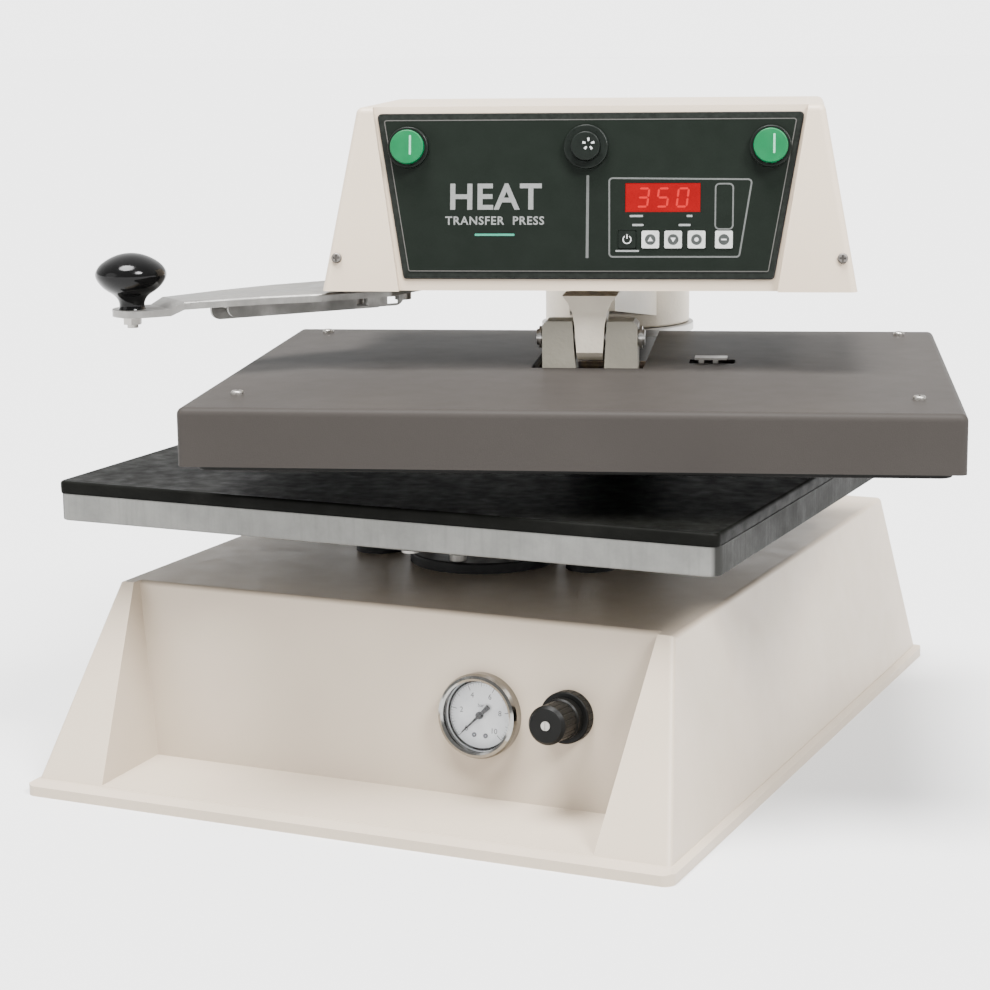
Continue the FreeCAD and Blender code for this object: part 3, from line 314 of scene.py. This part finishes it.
def label_sheet():
    """Polycarbonate label on its plate; the plate's rim is a shade off the label."""
    dark = (0.0062, 0.0088, 0.0066)
    s = Surface("label", dark, 0.38, Specular_IOR_Level=0.1)
    height = s.node("ShaderNodeVectorMath", operation="DOT_PRODUCT")
    s.feed(s.place, height.inputs[0])
    height.inputs[1].default_value = FACE_OUT
    level = FACE.origin.dot(FACE_OUT)
    on_sheet = s.span(height.outputs["Value"], level - 0.45 * MM, level - 0.35 * MM, 0, 1)
    fine = s.blend(s.span(s.noise(1900.0, 2.0), 0.3, 0.7, 0, 1), shade(dark, 0.9), shade(dark, 1.12))
    rim = s.blend(s.span(s.noise(300.0, 3.0), 0.3, 0.7, 0, 1), (0.008, 0.0095, 0.008), (0.014, 0.016, 0.014))
    s.paint_with(s.blend(on_sheet, rim, fine))
    s.roughen(s.span(s.noise(70.0, 3.0), 0.3, 0.7, 0.3, 0.4))
    s.bump((s.noise(2400.0, 2.0), 0.08, 0.0002))
    return s.material


def lit_window():
    """Red filter over lit digits."""
    red = (0.16, 0.001, 0.002)
    s = Surface("display red", red, 0.35, Specular_IOR_Level=0.1, Emission_Strength=0.12)
    glow = s.span(s.noise(70.0, 2.0), 0.3, 0.7, 0, 1)
    s.paint_with(s.blend(glow, shade(red, 0.85), red))
    s.feed(s.blend(glow, (0.50, 0.0, 0.001), (0.62, 0.001, 0.002)), s.shader.inputs["Emission Color"])
    s.bump((s.noise(1500.0, 1.0), 0.03, 0.0002))
    return s.material


def lit_segment():
    s = Surface("display segment", (0.3, 0.005, 0.006), 0.5, Specular_IOR_Level=0.1, Emission_Strength=0.3)
    s.feed(s.blend(s.noise(400.0), (0.9, 0.015, 0.02), (1.0, 0.04, 0.04)), s.shader.inputs["Emission Color"])
    s.bump((s.noise(1500.0, 1.0), 0.02, 0.0001))
    return s.material


def clear_glass():
    s = Surface("gauge glass", (1.0, 1.0, 1.0), 0.03, Transmission_Weight=1.0, IOR=1.2)
    s.roughen(s.span(s.noise(120.0, 3.0), 0.45, 0.75, 0.02, 0.07))
    return s.material


def mineral_wool():
    # Darker than the wool itself: painted shade for the inside of the cover.
    colour = (0.085, 0.080, 0.068)
    s = Surface("mineral wool", colour, 0.9, Sheen_Weight=0.3)
    strands = s.noise(260.0, 5.0, (1, 0.35, 1), 0.7)
    s.paint_with(s.blend(s.span(strands, 0.3, 0.7, 0, 1), shade(colour, 0.65), shade(colour, 1.15)))
    s.bump((strands, 0.6, 0.0012))
    return s.material


def heat_dulled():
    colour = (0.23, 0.20, 0.18)
    s = Surface("heated steel", colour, 0.5, 0.9)
    bands = s.noise(45.0, 3.0, (1, 1, 1), 0.6)
    s.paint_with(s.blend(s.span(bands, 0.35, 0.65, 0, 1), (0.16, 0.13, 0.15), (0.34, 0.27, 0.18)))
    s.roughen(s.span(bands, 0.3, 0.7, 0.4, 0.62))
    s.bump((s.noise(900.0, 3.0), 0.15, 0.0003))
    return s.material


def circuit_board():
    colour = (0.012, 0.13, 0.05)
    s = Surface("circuit board", colour, 0.4)
    tracks = s.span(s.cells(330.0), 0.02, 0.06, 1, 0)
    s.paint_with(s.blend(s.maths("MULTIPLY", tracks, 0.6), colour, (0.03, 0.24, 0.1)))
    s.bump((tracks, 0.2, 0.0001))
    return s.material


def dial_paint():
    colour = (0.60, 0.61, 0.62)
    s = Surface("dial enamel", colour, 0.45)
    s.paint_with(s.blend(s.span(s.noise(60.0, 4.0), 0.4, 0.75, 0, 1), colour, (0.45, 0.46, 0.48)))
    s.bump((s.noise(1500.0, 2.0), 0.04, 0.0002))
    return s.material


BEIGE = (0.41, 0.343, 0.268)
CONSOLE = (0.55, 0.455, 0.35)
CAST = (0.22, 0.205, 0.165)
STEEL = (0.52, 0.51, 0.49)


def cad_finishes():
    """The material of every CAD node that stays visible."""
    base = painted("base paint", BEIGE, 0.38, peel=0.10, mottle=0.05, wear_and_highlight=0.45, Specular_IOR_Level=0.3)
    console = painted("console paint", CONSOLE, 0.38, peel=0.10, mottle=0.04, wear_and_highlight=0.4,
                      Specular_IOR_Level=0.3)
    cover = painted("cover powder coat", (0.031, 0.0275, 0.025), 0.5, peel=0.16, wear_and_highlight=0.7, mottle=0.06,
                    wave=0.015, Specular_IOR_Level=0.05)
    frame_paint = painted("black frame paint", (0.010, 0.010, 0.010), 0.45, peel=0.25, Specular_IOR_Level=0.2)
    cast = cast_painted("cast arm paint", (0.60, 0.545, 0.45))
    grey_cast = cast_painted("cast clevis paint", CAST)
    handle = bare_metal("handle steel", (0.29, 0.283, 0.268), 0.34, (6, 1, 1), 160.0, 0.08, 0.5)
    ground = bare_metal("ground steel", STEEL, 0.30, (1, 1, 40), 60.0, 0.015, 0.04)
    plated = bare_metal("plated screw", (0.36, 0.345, 0.32), 0.28, (1, 1, 1), 900.0, 0.12, 0.3)
    turned_ring = bare_metal("turned steel", (0.45, 0.44, 0.42), 0.34, (1, 1, 20), 120.0, 0.1)
    bronze = bare_metal("bronze", (0.50, 0.33, 0.14), 0.4, (1, 1, 12), 200.0, 0.1)
    aluminium = cast_aluminium("platen aluminium", (0.140, 0.140, 0.131), shaded_sides=True)
    # Dark coating, darkened further as painted shade under the cover.
    coated = cast_aluminium("coated and shaded platen", (0.006, 0.006, 0.0055), 0.5, spec=0.1, metallic=0.0)
    tube = bare_metal("cylinder aluminium", (0.55, 0.55, 0.56), 0.35, (1, 1, 10), 160.0, 0.08)
    chrome = bare_metal("chrome", (0.27, 0.265, 0.25), 0.08, (1, 1, 1), 500.0, 0.02, 0.06)
    black = plastic("black moulding", (0.0035, 0.0035, 0.0032), 0.42, wear_and_highlight=0.5, Specular_IOR_Level=0.1)
    phenolic = plastic("black phenolic", (0.003, 0.003, 0.003), 0.10, 900.0, 0.01, 0.1,
                       Specular_IOR_Level=0.16)
    bezel = plastic("button bezel", (0.006, 0.008, 0.0065), 0.32, wear_and_highlight=0.5, Specular_IOR_Level=0.12)
    green = plastic("green button", (0.0, 0.105, 0.034), 0.4, wear_and_highlight=0.12, Specular_IOR_Level=0.2)
    white_key = plastic("key cap", (0.40, 0.41, 0.39), 0.45, wear_and_highlight=0.1)
    dark_key = plastic("dark key", (0.006, 0.0085, 0.0065), 0.40, wear_and_highlight=0.3, Specular_IOR_Level=0.1)
    hose = plastic("blue hose", (0.02, 0.07, 0.26), 0.3)
    brass = bare_metal("plated brass", (0.58, 0.50, 0.33), 0.28, (1, 1, 1), 500.0, 0.08)
    needle = plastic("needle black", (0.01, 0.01, 0.01), 0.5)
    return {
        base: ["base_pan", "base_shell"],
        console: ["console_chassis", "console_cheek_left", "console_cheek_right", "console_back"],
        cover: ["platen_cover"],
        # The lift bushings take the black paint partly as painted shade under the platen.
        frame_paint: ["base_frame", "table_bracket", "gauge_case", "lift_bushings"],
        cast: ["swing_arm", "hub_cap"],
        grey_cast: ["clevis"],
        handle: ["handle_arm", "handle_bracket"],
        ground: ["table_ram", "pivot_pin"],
        # The post is dark as painted shade for the dark inside of the cover's notch.
        bare_metal("dark post steel", (0.05, 0.049, 0.047), 0.34, (1, 1, 40), 60.0, 0.015, 0.1): ["post"],
        turned_ring: ["post_collars"],
        plated: ["base_bolts", "table_bolts", "platen_fixings", "cover_screws", "handle_stud",
                 "knob_screw", "sensor"],
        # Screw heads darkened: painted shade standing in for the dark recess in each head.
        bare_metal("cheek screw", (0.20, 0.185, 0.17), 0.25, (1, 1, 1), 900.0, 0.12, 0.5): ["head_screws"],
        bronze: ["hub_bushings"],
        aluminium: ["lower_platen"],
        coated: ["heat_platen"],
        tube: ["lift_cylinder", "regulator_body"],
        chrome: ["gauge_bezel"],
        dial_paint(): ["gauge_dial"],
        clear_glass(): ["gauge_lens"],
        needle: ["gauge_needle"],
        black: ["regulator_knob", "regulator_nut", "cord_gland", "solenoid_valve", "contact_blocks"],
        phenolic: ["handle_knob"],
        hose: ["air_hoses"],
        brass: ["air_inlet"],
        label_sheet(): ["face_plate"],
        lit_window(): ["display_window"],
        circuit_board(): ["control_board"],
        bezel: ["button_bezels", "release_button"],
        green: ["start_button_left", "start_button_right"],
        white_key: ["key_up", "key_down", "key_set", "key_timer"],
        dark_key: ["key_power"],
        heat_dulled(): ["heating_element"],
    }


def dress(finishes):
    for material, nodes in finishes.items():
        for node in nodes:
            for slot in NODES[node].material_slots:
                slot.material = material


# ---- thin printed and moulded marks ----

def arc(x, y, r, start, end, steps):
    turns = [math.radians(start + (end - start) * i / steps) for i in range(steps + 1)]
    return [(x + r * math.cos(a), y + r * math.sin(a)) for a in turns]


def circle(x, y, r, steps=40):
    return arc(x, y, r, 0, 360, steps)[:-1]


def rectangle(x0, x1, y0, y1):
    return [(x0, y0), (x1, y0), (x1, y1), (x0, y1)]


def inset(points, by):
    """Convex outline, counter-clockwise, with every side moved in."""
    out = []
    count = len(points)
    for i in range(count):
        before, here, after = (Vector(points[j % count]) for j in (i - 1, i, i + 1))
        first, second = (here - before).normalized(), (after - here).normalized()
        n1, n2 = Vector((-first.y, first.x)), Vector((-second.y, second.x))
        out.append(tuple(here + (n1 + n2) * by / (1 + n1.dot(n2))))
    return out


def rounded(points, r, steps=6):
    """Convex outline, counter-clockwise, with round corners."""
    out = []
    count = len(points)
    for i in range(count):
        before, here, after = (Vector(points[j % count]) for j in (i - 1, i, i + 1))
        first, second = (before - here).normalized(), (after - here).normalized()
        half = first.angle(second) / 2
        middle = here + (first + second).normalized() * r / math.sin(half)
        start = here + first * r / math.tan(half) - middle
        end = here + second * r / math.tan(half) - middle
        turn = start.angle_signed(end)
        for k in range(steps + 1):
            out.append(tuple(middle + Matrix.Rotation(-turn * k / steps, 2) @ start))
    return out


def prism(mesh, loop, plane, w0, w1):
    """Solid between two copies of an outline."""
    low = [mesh.verts.new(plane.at(u, v, w0)) for u, v in loop]
    high = [mesh.verts.new(plane.at(u, v, w1)) for u, v in loop]
    mesh.faces.new(high)
    mesh.faces.new(low[::-1])
    join_rings(mesh, low, high)


def join_rings(mesh, low, high):
    for i in range(len(low)):
        j = (i + 1) % len(low)
        mesh.faces.new((low[i], low[j], high[j], high[i]))


def hoop(mesh, outer, inner, plane, w0, w1):
    """Solid between an outer and an inner outline with as many points."""
    rings = [[mesh.verts.new(plane.at(u, v, w)) for u, v in loop]
             for loop, w in ((outer, w0), (outer, w1), (inner, w1), (inner, w0))]
    for a, b in zip(rings, rings[1:] + rings[:1]):
        join_rings(mesh, a, b)


def finished(mesh, name, material, body, smooth=None):
    """Turn a bmesh into a piece that rides on a body."""
    bmesh.ops.recalc_face_normals(mesh, faces=mesh.faces)
    data = bpy.data.meshes.new(name)
    mesh.to_mesh(data)
    mesh.free()
    piece = bpy.data.objects.new(name, data)
    bpy.context.scene.collection.objects.link(piece)
    data.materials.append(material)
    if smooth is not None:
        data.shade_smooth()
        data.set_sharp_from_angle(angle=math.radians(smooth))
    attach(piece, body)
    return piece


def marks(name, material, body, plane, solid=(), rings=(), w0=-0.02, w1=PRINT):
    """One piece made of filled outlines and of rings, each ring an (outline, line width)."""
    mesh = bmesh.new()
    for loop in solid:
        prism(mesh, loop, plane, w0, w1)
    for loop, width in rings:
        hoop(mesh, loop, inset(loop, width), plane, w0, w1)
    piece = finished(mesh, name, material, body)
    return piece


def lettering(name, text, size, material, body, plane, u, v, spread=1.0, weight=0.0):
    """Raised print of generic words or numbers, centred on (u, v)."""
    curve = bpy.data.curves.new(name, "FONT")
    curve.body = text
    curve.size = size
    curve.align_x = "CENTER"
    curve.align_y = "CENTER"
    curve.space_character = spread
    curve.extrude = PRINT / 2
    curve.offset = weight
    curve.resolution_u = 3
    maker = bpy.data.objects.new(name + "_maker", curve)
    bpy.context.scene.collection.objects.link(maker)
    bpy.context.view_layer.update()
    data = bpy.data.meshes.new_from_object(maker.evaluated_get(bpy.context.evaluated_depsgraph_get()))
    bpy.data.objects.remove(maker)
    data.name = name
    for vertex in data.vertices:
        x, y, z = vertex.co
        vertex.co = plane.at(u + x, v + y, z + PRINT / 2)
    data.materials.clear()
    data.materials.append(material)
    piece = bpy.data.objects.new(name, data)
    bpy.context.scene.collection.objects.link(piece)
    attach(piece, body)
    return piece


def label_print():
    """Lines and bars printed on the console's label."""
    grey = ink("label grey ink", (0.075, 0.08, 0.076))
    edge = rounded(on_label([(-130.6, 364.5), (130.6, 364.5), (149.6, 473.0), (-149.6, 473.0)]), 1.8)
    marks("label_border", ink("label border", (0.06, 0.058, 0.053)), "head", FACE, rings=[(edge, 0.7)])
    # Dark ring round the plate: painted shadow in the gap at the plate's edge.
    plate = rounded(on_label([(-134.5, 359.2), (134.5, 359.2), (155.0, 477.8), (-155.0, 477.8)]), 3.0)
    marks("label_shadow_gap", plastic("label shadow gap", (0.006, 0.006, 0.006), 0.7), "head", FACE,
          rings=[(plate, 1.6)], w0=-2.72, w1=-1.9)
    pale = ink("label pale ink", (0.20, 0.21, 0.205))
    area = on_label([(15.5, 374.5), (109.9, 374.6), (118.8, 430.5), (14.9, 431.6)])
    slot_line = on_label(rectangle(91.5, 105.2, 394.3, 427.4))
    marks("label_lines", grey, "head", FACE,
          solid=[rounded(on_label(rectangle(-1.0, 1.0, 374.2, 433.1)), 0.5)],
          rings=[(rounded(area, 3.0), 1.2), (rounded(slot_line, 3.4), 1.1)])
    bars = [(35.3, 404.1, 9.5, 1.5), (73.6, 404.1, 4.0, 1.5), (36.5, 397.7, 8.0, 1.5),
            (70.1, 397.7, 8.5, 1.5), (29.0, 379.3, 17.0, 1.3)]
    solid = []
    for x, z, width, height in bars:
        bar = rectangle(x - width / 2, x + width / 2, z - height / 2, z + height / 2)
        solid.append(rounded(on_label(bar), 0.4))
    marks("label_bars", pale, "head", FACE, solid=solid)
    mark = ink("label mark ink", (0.16, 0.165, 0.16))
    (u, v), (u2, v2) = on_label([(-67.5, 417.0), (-67.5, 400.6)])
    lettering("label_title", "HEAT", 26.0, mark, "head", FACE, u, v, 1.08, 0.55)
    lettering("label_subtitle", "TRANSFER  PRESS", 8.4, mark, "head", FACE, u2, v2, 1.12, 0.16)
    rule = on_label(rectangle(-82.0, -53.0, 390.0, 391.6))
    marks("label_rule", ink("label green ink", (0.02, 0.20, 0.13)), "head", FACE, solid=[rounded(rule, 0.5)])


def display_digits():
    """Three seven-segment digits seen through the red window."""
    lit = {"3": "abcdg", "5": "acdfg", "0": "abcdef"}
    high, wide, thick = 13.0, 7.2, 1.5
    first, pitch, lean, gap = -18.5, 14.2, 0.12, 0.3
    spans = {"a": (0, wide, high), "g": (0, wide, high / 2), "d": (0, wide, 0)}
    stands = {"f": (0, high / 2, high), "b": (wide, high / 2, high),
              "e": (0, 0, high / 2), "c": (wide, 0, high / 2)}
    solid = []
    half = thick / 2
    for place, digit in enumerate("350"):
        x = first + pitch * place
        y = -high / 2
        for name in lit[digit]:
            if name in spans:
                a, b, level = spans[name]
                line = [(a + gap, level), (a + gap + half, level - half), (b - gap - half, level - half),
                        (b - gap, level), (b - gap - half, level + half), (a + gap + half, level + half)]
            else:
                across, a, b = stands[name]
                line = [(across, a + gap), (across + half, a + gap + half), (across + half, b - gap - half),
                        (across, b - gap), (across - half, b - gap - half), (across - half, a + gap + half)]
            solid.append([(x + u + lean * v, y + v) for u, v in line])
    window = FACE.moved(0, 0, -0.2)
    marks("display_digits", lit_segment(), "head", window, solid=solid, w0=-0.01, w1=0.03)


def key_icons():
    """A symbol on each key, riding with the key."""
    dark = ink("key dark ink", (0.02, 0.024, 0.022))
    pale = ink("key pale ink", (0.5, 0.51, 0.5))
    triangle = [(-1.9, -1.25), (1.9, -1.25), (0, 1.9)]
    symbols = {
        "key_up": [triangle],
        "key_down": [[(-x, -y) for x, y in triangle]],
        "key_set": [circle(0, 0, 1.5, 24)],
        "key_timer": [rectangle(-1.9, 1.9, -0.5, 0.5)],
    }
    for key, shapes in symbols.items():
        plane = Plane(centre(key), HEAD_RIGHT, FACE_OUT).moved(0, 0, KEY_HALF_DEEP)
        marks(key + "_disc", dark, key, plane, solid=[circle(0, 0, 3.9)])
        marks(key + "_symbol", pale, key, plane, solid=shapes, w0=0.0, w1=2 * PRINT)
    plane = Plane(centre("key_power"), HEAD_RIGHT, FACE_OUT).moved(0, 0, KEY_HALF_DEEP)
    outer = arc(0, 0, 3.2, 125, 415, 40)
    inner = arc(0, 0, 2.5, 125, 415, 40)
    marks("key_power_symbol", pale, "key_power", plane,
          solid=[outer + inner[::-1], rectangle(-0.4, 0.4, 0.6, 3.6)])


def button_marks():
    """Pale bar on each start button and a light symbol on the release button."""
    white = ink("button white", (0.16, 0.42, 0.28))
    for side in ("left", "right"):
        button = "start_button_" + side
        plane = cap_front(button)
        bar = rounded(rectangle(-0.75, 0.75, -7.0, 7.0), 0.5)
        marks(button + "_bar", white, "start_" + side, plane, solid=[bar])
    plane = cap_front("release_button")
    spokes = []
    for i in range(5):
        a = math.radians(90 + 72 * i)
        along, across = Vector((math.cos(a), math.sin(a))), Vector((-math.sin(a), math.cos(a)))
        spokes.append([tuple(along * r + across * w)
                       for r, w in ((2.2, -0.55), (4.4, -0.85), (4.4, 0.85), (2.2, 0.55))])
    pale = ink("release symbol", (0.5, 0.52, 0.51))
    marks("release_symbol", pale, "release", plane, solid=spokes)


def cap_front(button):
    """Plane on a push button's front, found from the button's own points."""
    points = [vertex.co for vertex in NODES[button].data.vertices]
    front = max(point.dot(FACE_OUT) for point in points)
    middle = centre(button)
    return Plane(middle + FACE_OUT * (front - middle.dot(FACE_OUT)), HEAD_RIGHT, FACE_OUT)


def gauge_print():
    """Scale, numbers and screws of the pressure gauge's dial."""
    black = ink("dial ink", (0.03, 0.03, 0.035))
    dial = DIAL.moved(0, 0, DIAL_FACE)
    ticks = []
    for i in range(51):
        turn = math.radians(SCALE_START - SCALE_SWEEP * i / 50)
        long, wide = (4.2, 0.42) if i % 10 == 0 else (2.6, 0.28) if i % 5 == 0 else (1.7, 0.16)
        along, across = Vector((math.cos(turn), math.sin(turn))), Vector((-math.sin(turn), math.cos(turn)))
        inner, half = SCALE_R - long, wide / 2
        ends = ((SCALE_R, -half), (SCALE_R, half), (inner, half), (inner, -half))
        ticks.append([tuple(along * r + across * w) for r, w in ends])
    end = SCALE_START - SCALE_SWEEP
    scale = arc(0, 0, SCALE_R + 0.3, SCALE_START, end, 60) + arc(0, 0, SCALE_R - 0.1, end, SCALE_START, 60)
    marks("dial_scale", black, "base", dial, solid=ticks + [scale])
    # Dark ring round the dial's edge: painted shade of the bezel's inner wall.
    marks("dial_shadow_ring", ink("dial shadow ring", (0.006, 0.006, 0.006), 0.7, Specular_IOR_Level=0.1), "base", dial,
          rings=[(circle(0, 0, 25.0), 1.7)])
    for i, text in enumerate(("0", "2", "4", "6", "8", "10")):
        turn = math.radians(SCALE_START - SCALE_SWEEP * i / 5)
        lettering("dial_number_" + text, text, 5.4, black, "base", dial,
                  NUMBER_R * math.cos(turn), NUMBER_R * math.sin(turn))
    lettering("dial_unit", "bar", 3.6, black, "base", dial, 0, 6.8)
    mesh = bmesh.new()
    for x in (-4.3, 4.3):
        hoop(mesh, circle(x, -14.2, 1.7, 28), circle(x, -14.2, 0.5, 28), dial, -0.02, 0.5)
    screws = finished(mesh, "dial_screws", bare_metal("dark screw", (0.10, 0.10, 0.11), 0.35), "base", 35)


# ---- soft pieces ----

PAD_CORNER = 6 * MM         # radius of the pad's corners seen from above
PAD_ROLL = 2.4 * MM         # radius of its rolled top edge
PAD_WAVE = 0.12 * MM        # half the depth of the waves on its top
WOOL_GRID = 3.5 * MM        # spacing of the points that shape the wool
WOOL_SHRINK = 1.0           # how far the wool stays inside the sheet's outline, in mm
WOOL_LUMP = 0.8             # and the height of its lumps


def pressing_pad():
    """Silicone sponge sheet: rolled top edge, sides a little full, top flat with faint waves."""
    low, high = (Vector(p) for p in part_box("platen_pad"))
    middle = (low + high) / 2
    half = (high - low) / 2
    thick = high.z - low.z
    rows = [(0.5 * MM, 0.0), (0.1 * MM, 0.18 * thick), (0.0, 0.5 * thick)]
    for k in range(7):
        a = math.radians(15 * k)
        rows.append((PAD_ROLL * (1 - math.cos(a)), thick - PAD_ROLL + PAD_ROLL * math.sin(a)))
    rows += [(PAD_ROLL + step * MM, thick) for step in (4, 12, 30, 60, 110, 160)]
    mesh = bmesh.new()
    rings = []
    for inward, height in rows:
        x, y = half.x - inward, half.y - inward
        r = max(PAD_CORNER - inward, 0.6 * MM)
        ring = []
        corners = [arc(sx * (x - r), sy * (y - r), r, start, start + 90, 6)
                   for sx, sy, start in ((1, 1, 0), (-1, 1, 90), (-1, -1, 180), (1, -1, 270))]
        for here, after in zip(corners, corners[1:] + corners[:1]):
            begin, end = Vector(here[-1]), Vector(after[0])
            ring += here + [tuple(begin.lerp(end, t / 16)) for t in range(1, 16)]
        rings.append(ring)
    verts = []
    for ring, (inward, height) in zip(rings, rows):
        row = []
        for u, v in ring:
            wave = 0.0
            if height >= thick - 1e-6:
                wave = -PAD_WAVE * (1 + noise.noise(Vector((u * 14, v * 14, 3.0))))
            row.append(mesh.verts.new((middle.x + u, middle.y + v, low.z + height + wave)))
        verts.append(row)
    for a, b in zip(verts, verts[1:]):
        join_rings(mesh, a, b)
    mesh.faces.new(verts[-1])
    mesh.faces.new(verts[0][::-1])
    pad = finished(mesh, "pressing_pad", silicone_sheet(), "table", 50)
    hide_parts("platen_pad")


def wool_blanket():
    """Mineral-wool sheet under the cover: the CAD sheet's outline with a lumpy, soft surface."""
    blanket = bpy.data.objects.new("wool_blanket", NODES["insulation"].data.copy())
    bpy.context.scene.collection.objects.link(blanket)
    low, high = (Vector(p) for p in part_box("insulation"))
    remesh = blanket.modifiers.new("remesh", "REMESH")
    remesh.mode = "VOXEL"
    remesh.voxel_size = WOOL_GRID
    graph = bpy.context.evaluated_depsgraph_get()
    data = bpy.data.meshes.new_from_object(blanket.evaluated_get(graph))
    blanket.modifiers.clear()
    blanket.data = data
    for vertex in data.vertices:
        lump = noise.noise(vertex.co * 55) + 0.5 * noise.noise(vertex.co * 160)
        vertex.co -= Vector(vertex.normal) * MM * (WOOL_SHRINK + WOOL_LUMP * lump)
        vertex.co.z = min(max(vertex.co.z, low.z), high.z)
    data.materials.clear()
    data.materials.append(mineral_wool())
    data.shade_smooth()
    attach(blanket, "platen")
    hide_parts("insulation")


# ---- studio ----

CAMERA_AT = Vector((0.7547, -1.6905, 0.5455))
CAMERA_AZIMUTH = 24.50      # degrees to the right of the press's front
CAMERA_DOWN = 11.15
CAMERA_ROLL = -0.636
CAMERA_LENS = 87.96
ROOM_FRONT = 0.5            # brightness of the white room on the operator's side
ROOM_BACK = 1.6             # its brightness behind the press
HORIZON = 3.9               # and low down all round, about as bright as the floor
FLOOR_GREY = 0.64


def studio():
    add_camera()
    floor_material = Surface("studio floor", (FLOOR_GREY, FLOOR_GREY, FLOOR_GREY), 0.7)
    floor_material.bump((floor_material.noise(40.0), 0.02, 0.001))
    bpy.ops.mesh.primitive_plane_add(size=60, location=(0, 0, 0))
    floor = bpy.context.object
    floor.name = "studio_floor"
    floor.data.materials.append(floor_material.material)
    world = bpy.data.worlds.new("studio")
    world.use_nodes = True
    surround(world.node_tree)
    bpy.context.scene.world = world
    target = Vector((0.02, -0.02, 0.22))
    lamp("key_light", (2.1, -1.0, 2.5), target, 6.6, 18)
    lamp("top_light", (-0.1, -0.5, 2.6), target, 12.5, 30)
    lamp("side_light", (-1.6, -2.2, 1.1), target, 0.8, 40)


def surround(tree):
    """White room: bright low down all round, dimmer above that and dimmest on the operator's side."""
    ahead = Vector((-math.sin(math.radians(CAMERA_AZIMUTH)), math.cos(math.radians(CAMERA_AZIMUTH)), 0))
    direction = tree.nodes.new("ShaderNodeTexCoord").outputs["Generated"]
    behind = ramp(tree, along(tree, direction, ahead), -0.3, 0.95, ROOM_FRONT, ROOM_BACK)
    height = ramp(tree, along(tree, direction, Vector((0, 0, 1))), 0.04, 0.10, 1, 0)
    glow = tree.nodes.new("ShaderNodeMix")
    tree.links.new(height, glow.inputs["Factor"])
    tree.links.new(behind, glow.inputs["A"])
    glow.inputs["B"].default_value = HORIZON
    tree.nodes["Background"].inputs["Color"].default_value = (1, 1, 1, 1)
    tree.links.new(glow.outputs["Result"], tree.nodes["Background"].inputs["Strength"])


def along(tree, direction, axis):
    dot = tree.nodes.new("ShaderNodeVectorMath")
    dot.operation = "DOT_PRODUCT"
    tree.links.new(direction, dot.inputs[0])
    dot.inputs[1].default_value = axis
    return dot.outputs["Value"]


def ramp(tree, value, low, high, out_low, out_high):
    level = tree.nodes.new("ShaderNodeMapRange")
    level.interpolation_type = "SMOOTHSTEP"
    for socket, number in (("From Min", low), ("From Max", high), ("To Min", out_low), ("To Max", out_high)):
        level.inputs[socket].default_value = number
    tree.links.new(value, level.inputs["Value"])
    return level.outputs["Result"]


def lamp(name, place, target, strength, softness):
    """A distant soft light, so the floor is lit evenly all the way back."""
    data = bpy.data.lights.new(name, "SUN")
    data.energy = strength
    data.angle = math.radians(softness)
    lamp_object = bpy.data.objects.new(name, data)
    lamp_object.location = place
    lamp_object.rotation_euler = (target - Vector(place)).to_track_quat("-Z", "Y").to_euler()
    bpy.context.scene.collection.objects.link(lamp_object)


def add_camera():
    data = bpy.data.cameras.new("camera")
    data.lens = CAMERA_LENS
    data.sensor_width = 36
    data.clip_end = 200
    camera = bpy.data.objects.new("camera", data)
    turn = (Matrix.Rotation(math.radians(CAMERA_AZIMUTH), 3, "Z")
            @ Matrix.Rotation(math.radians(90 - CAMERA_DOWN), 3, "X")
            @ Matrix.Rotation(math.radians(CAMERA_ROLL), 3, "Z"))
    camera.matrix_world = Matrix.Translation(CAMERA_AT) @ turn.to_4x4()
    bpy.context.scene.collection.objects.link(camera)
    bpy.context.scene.camera = camera


dress(cad_finishes())
label_print()
display_digits()
key_icons()
button_marks()
gauge_print()
pressing_pad()
wool_blanket()
studio()
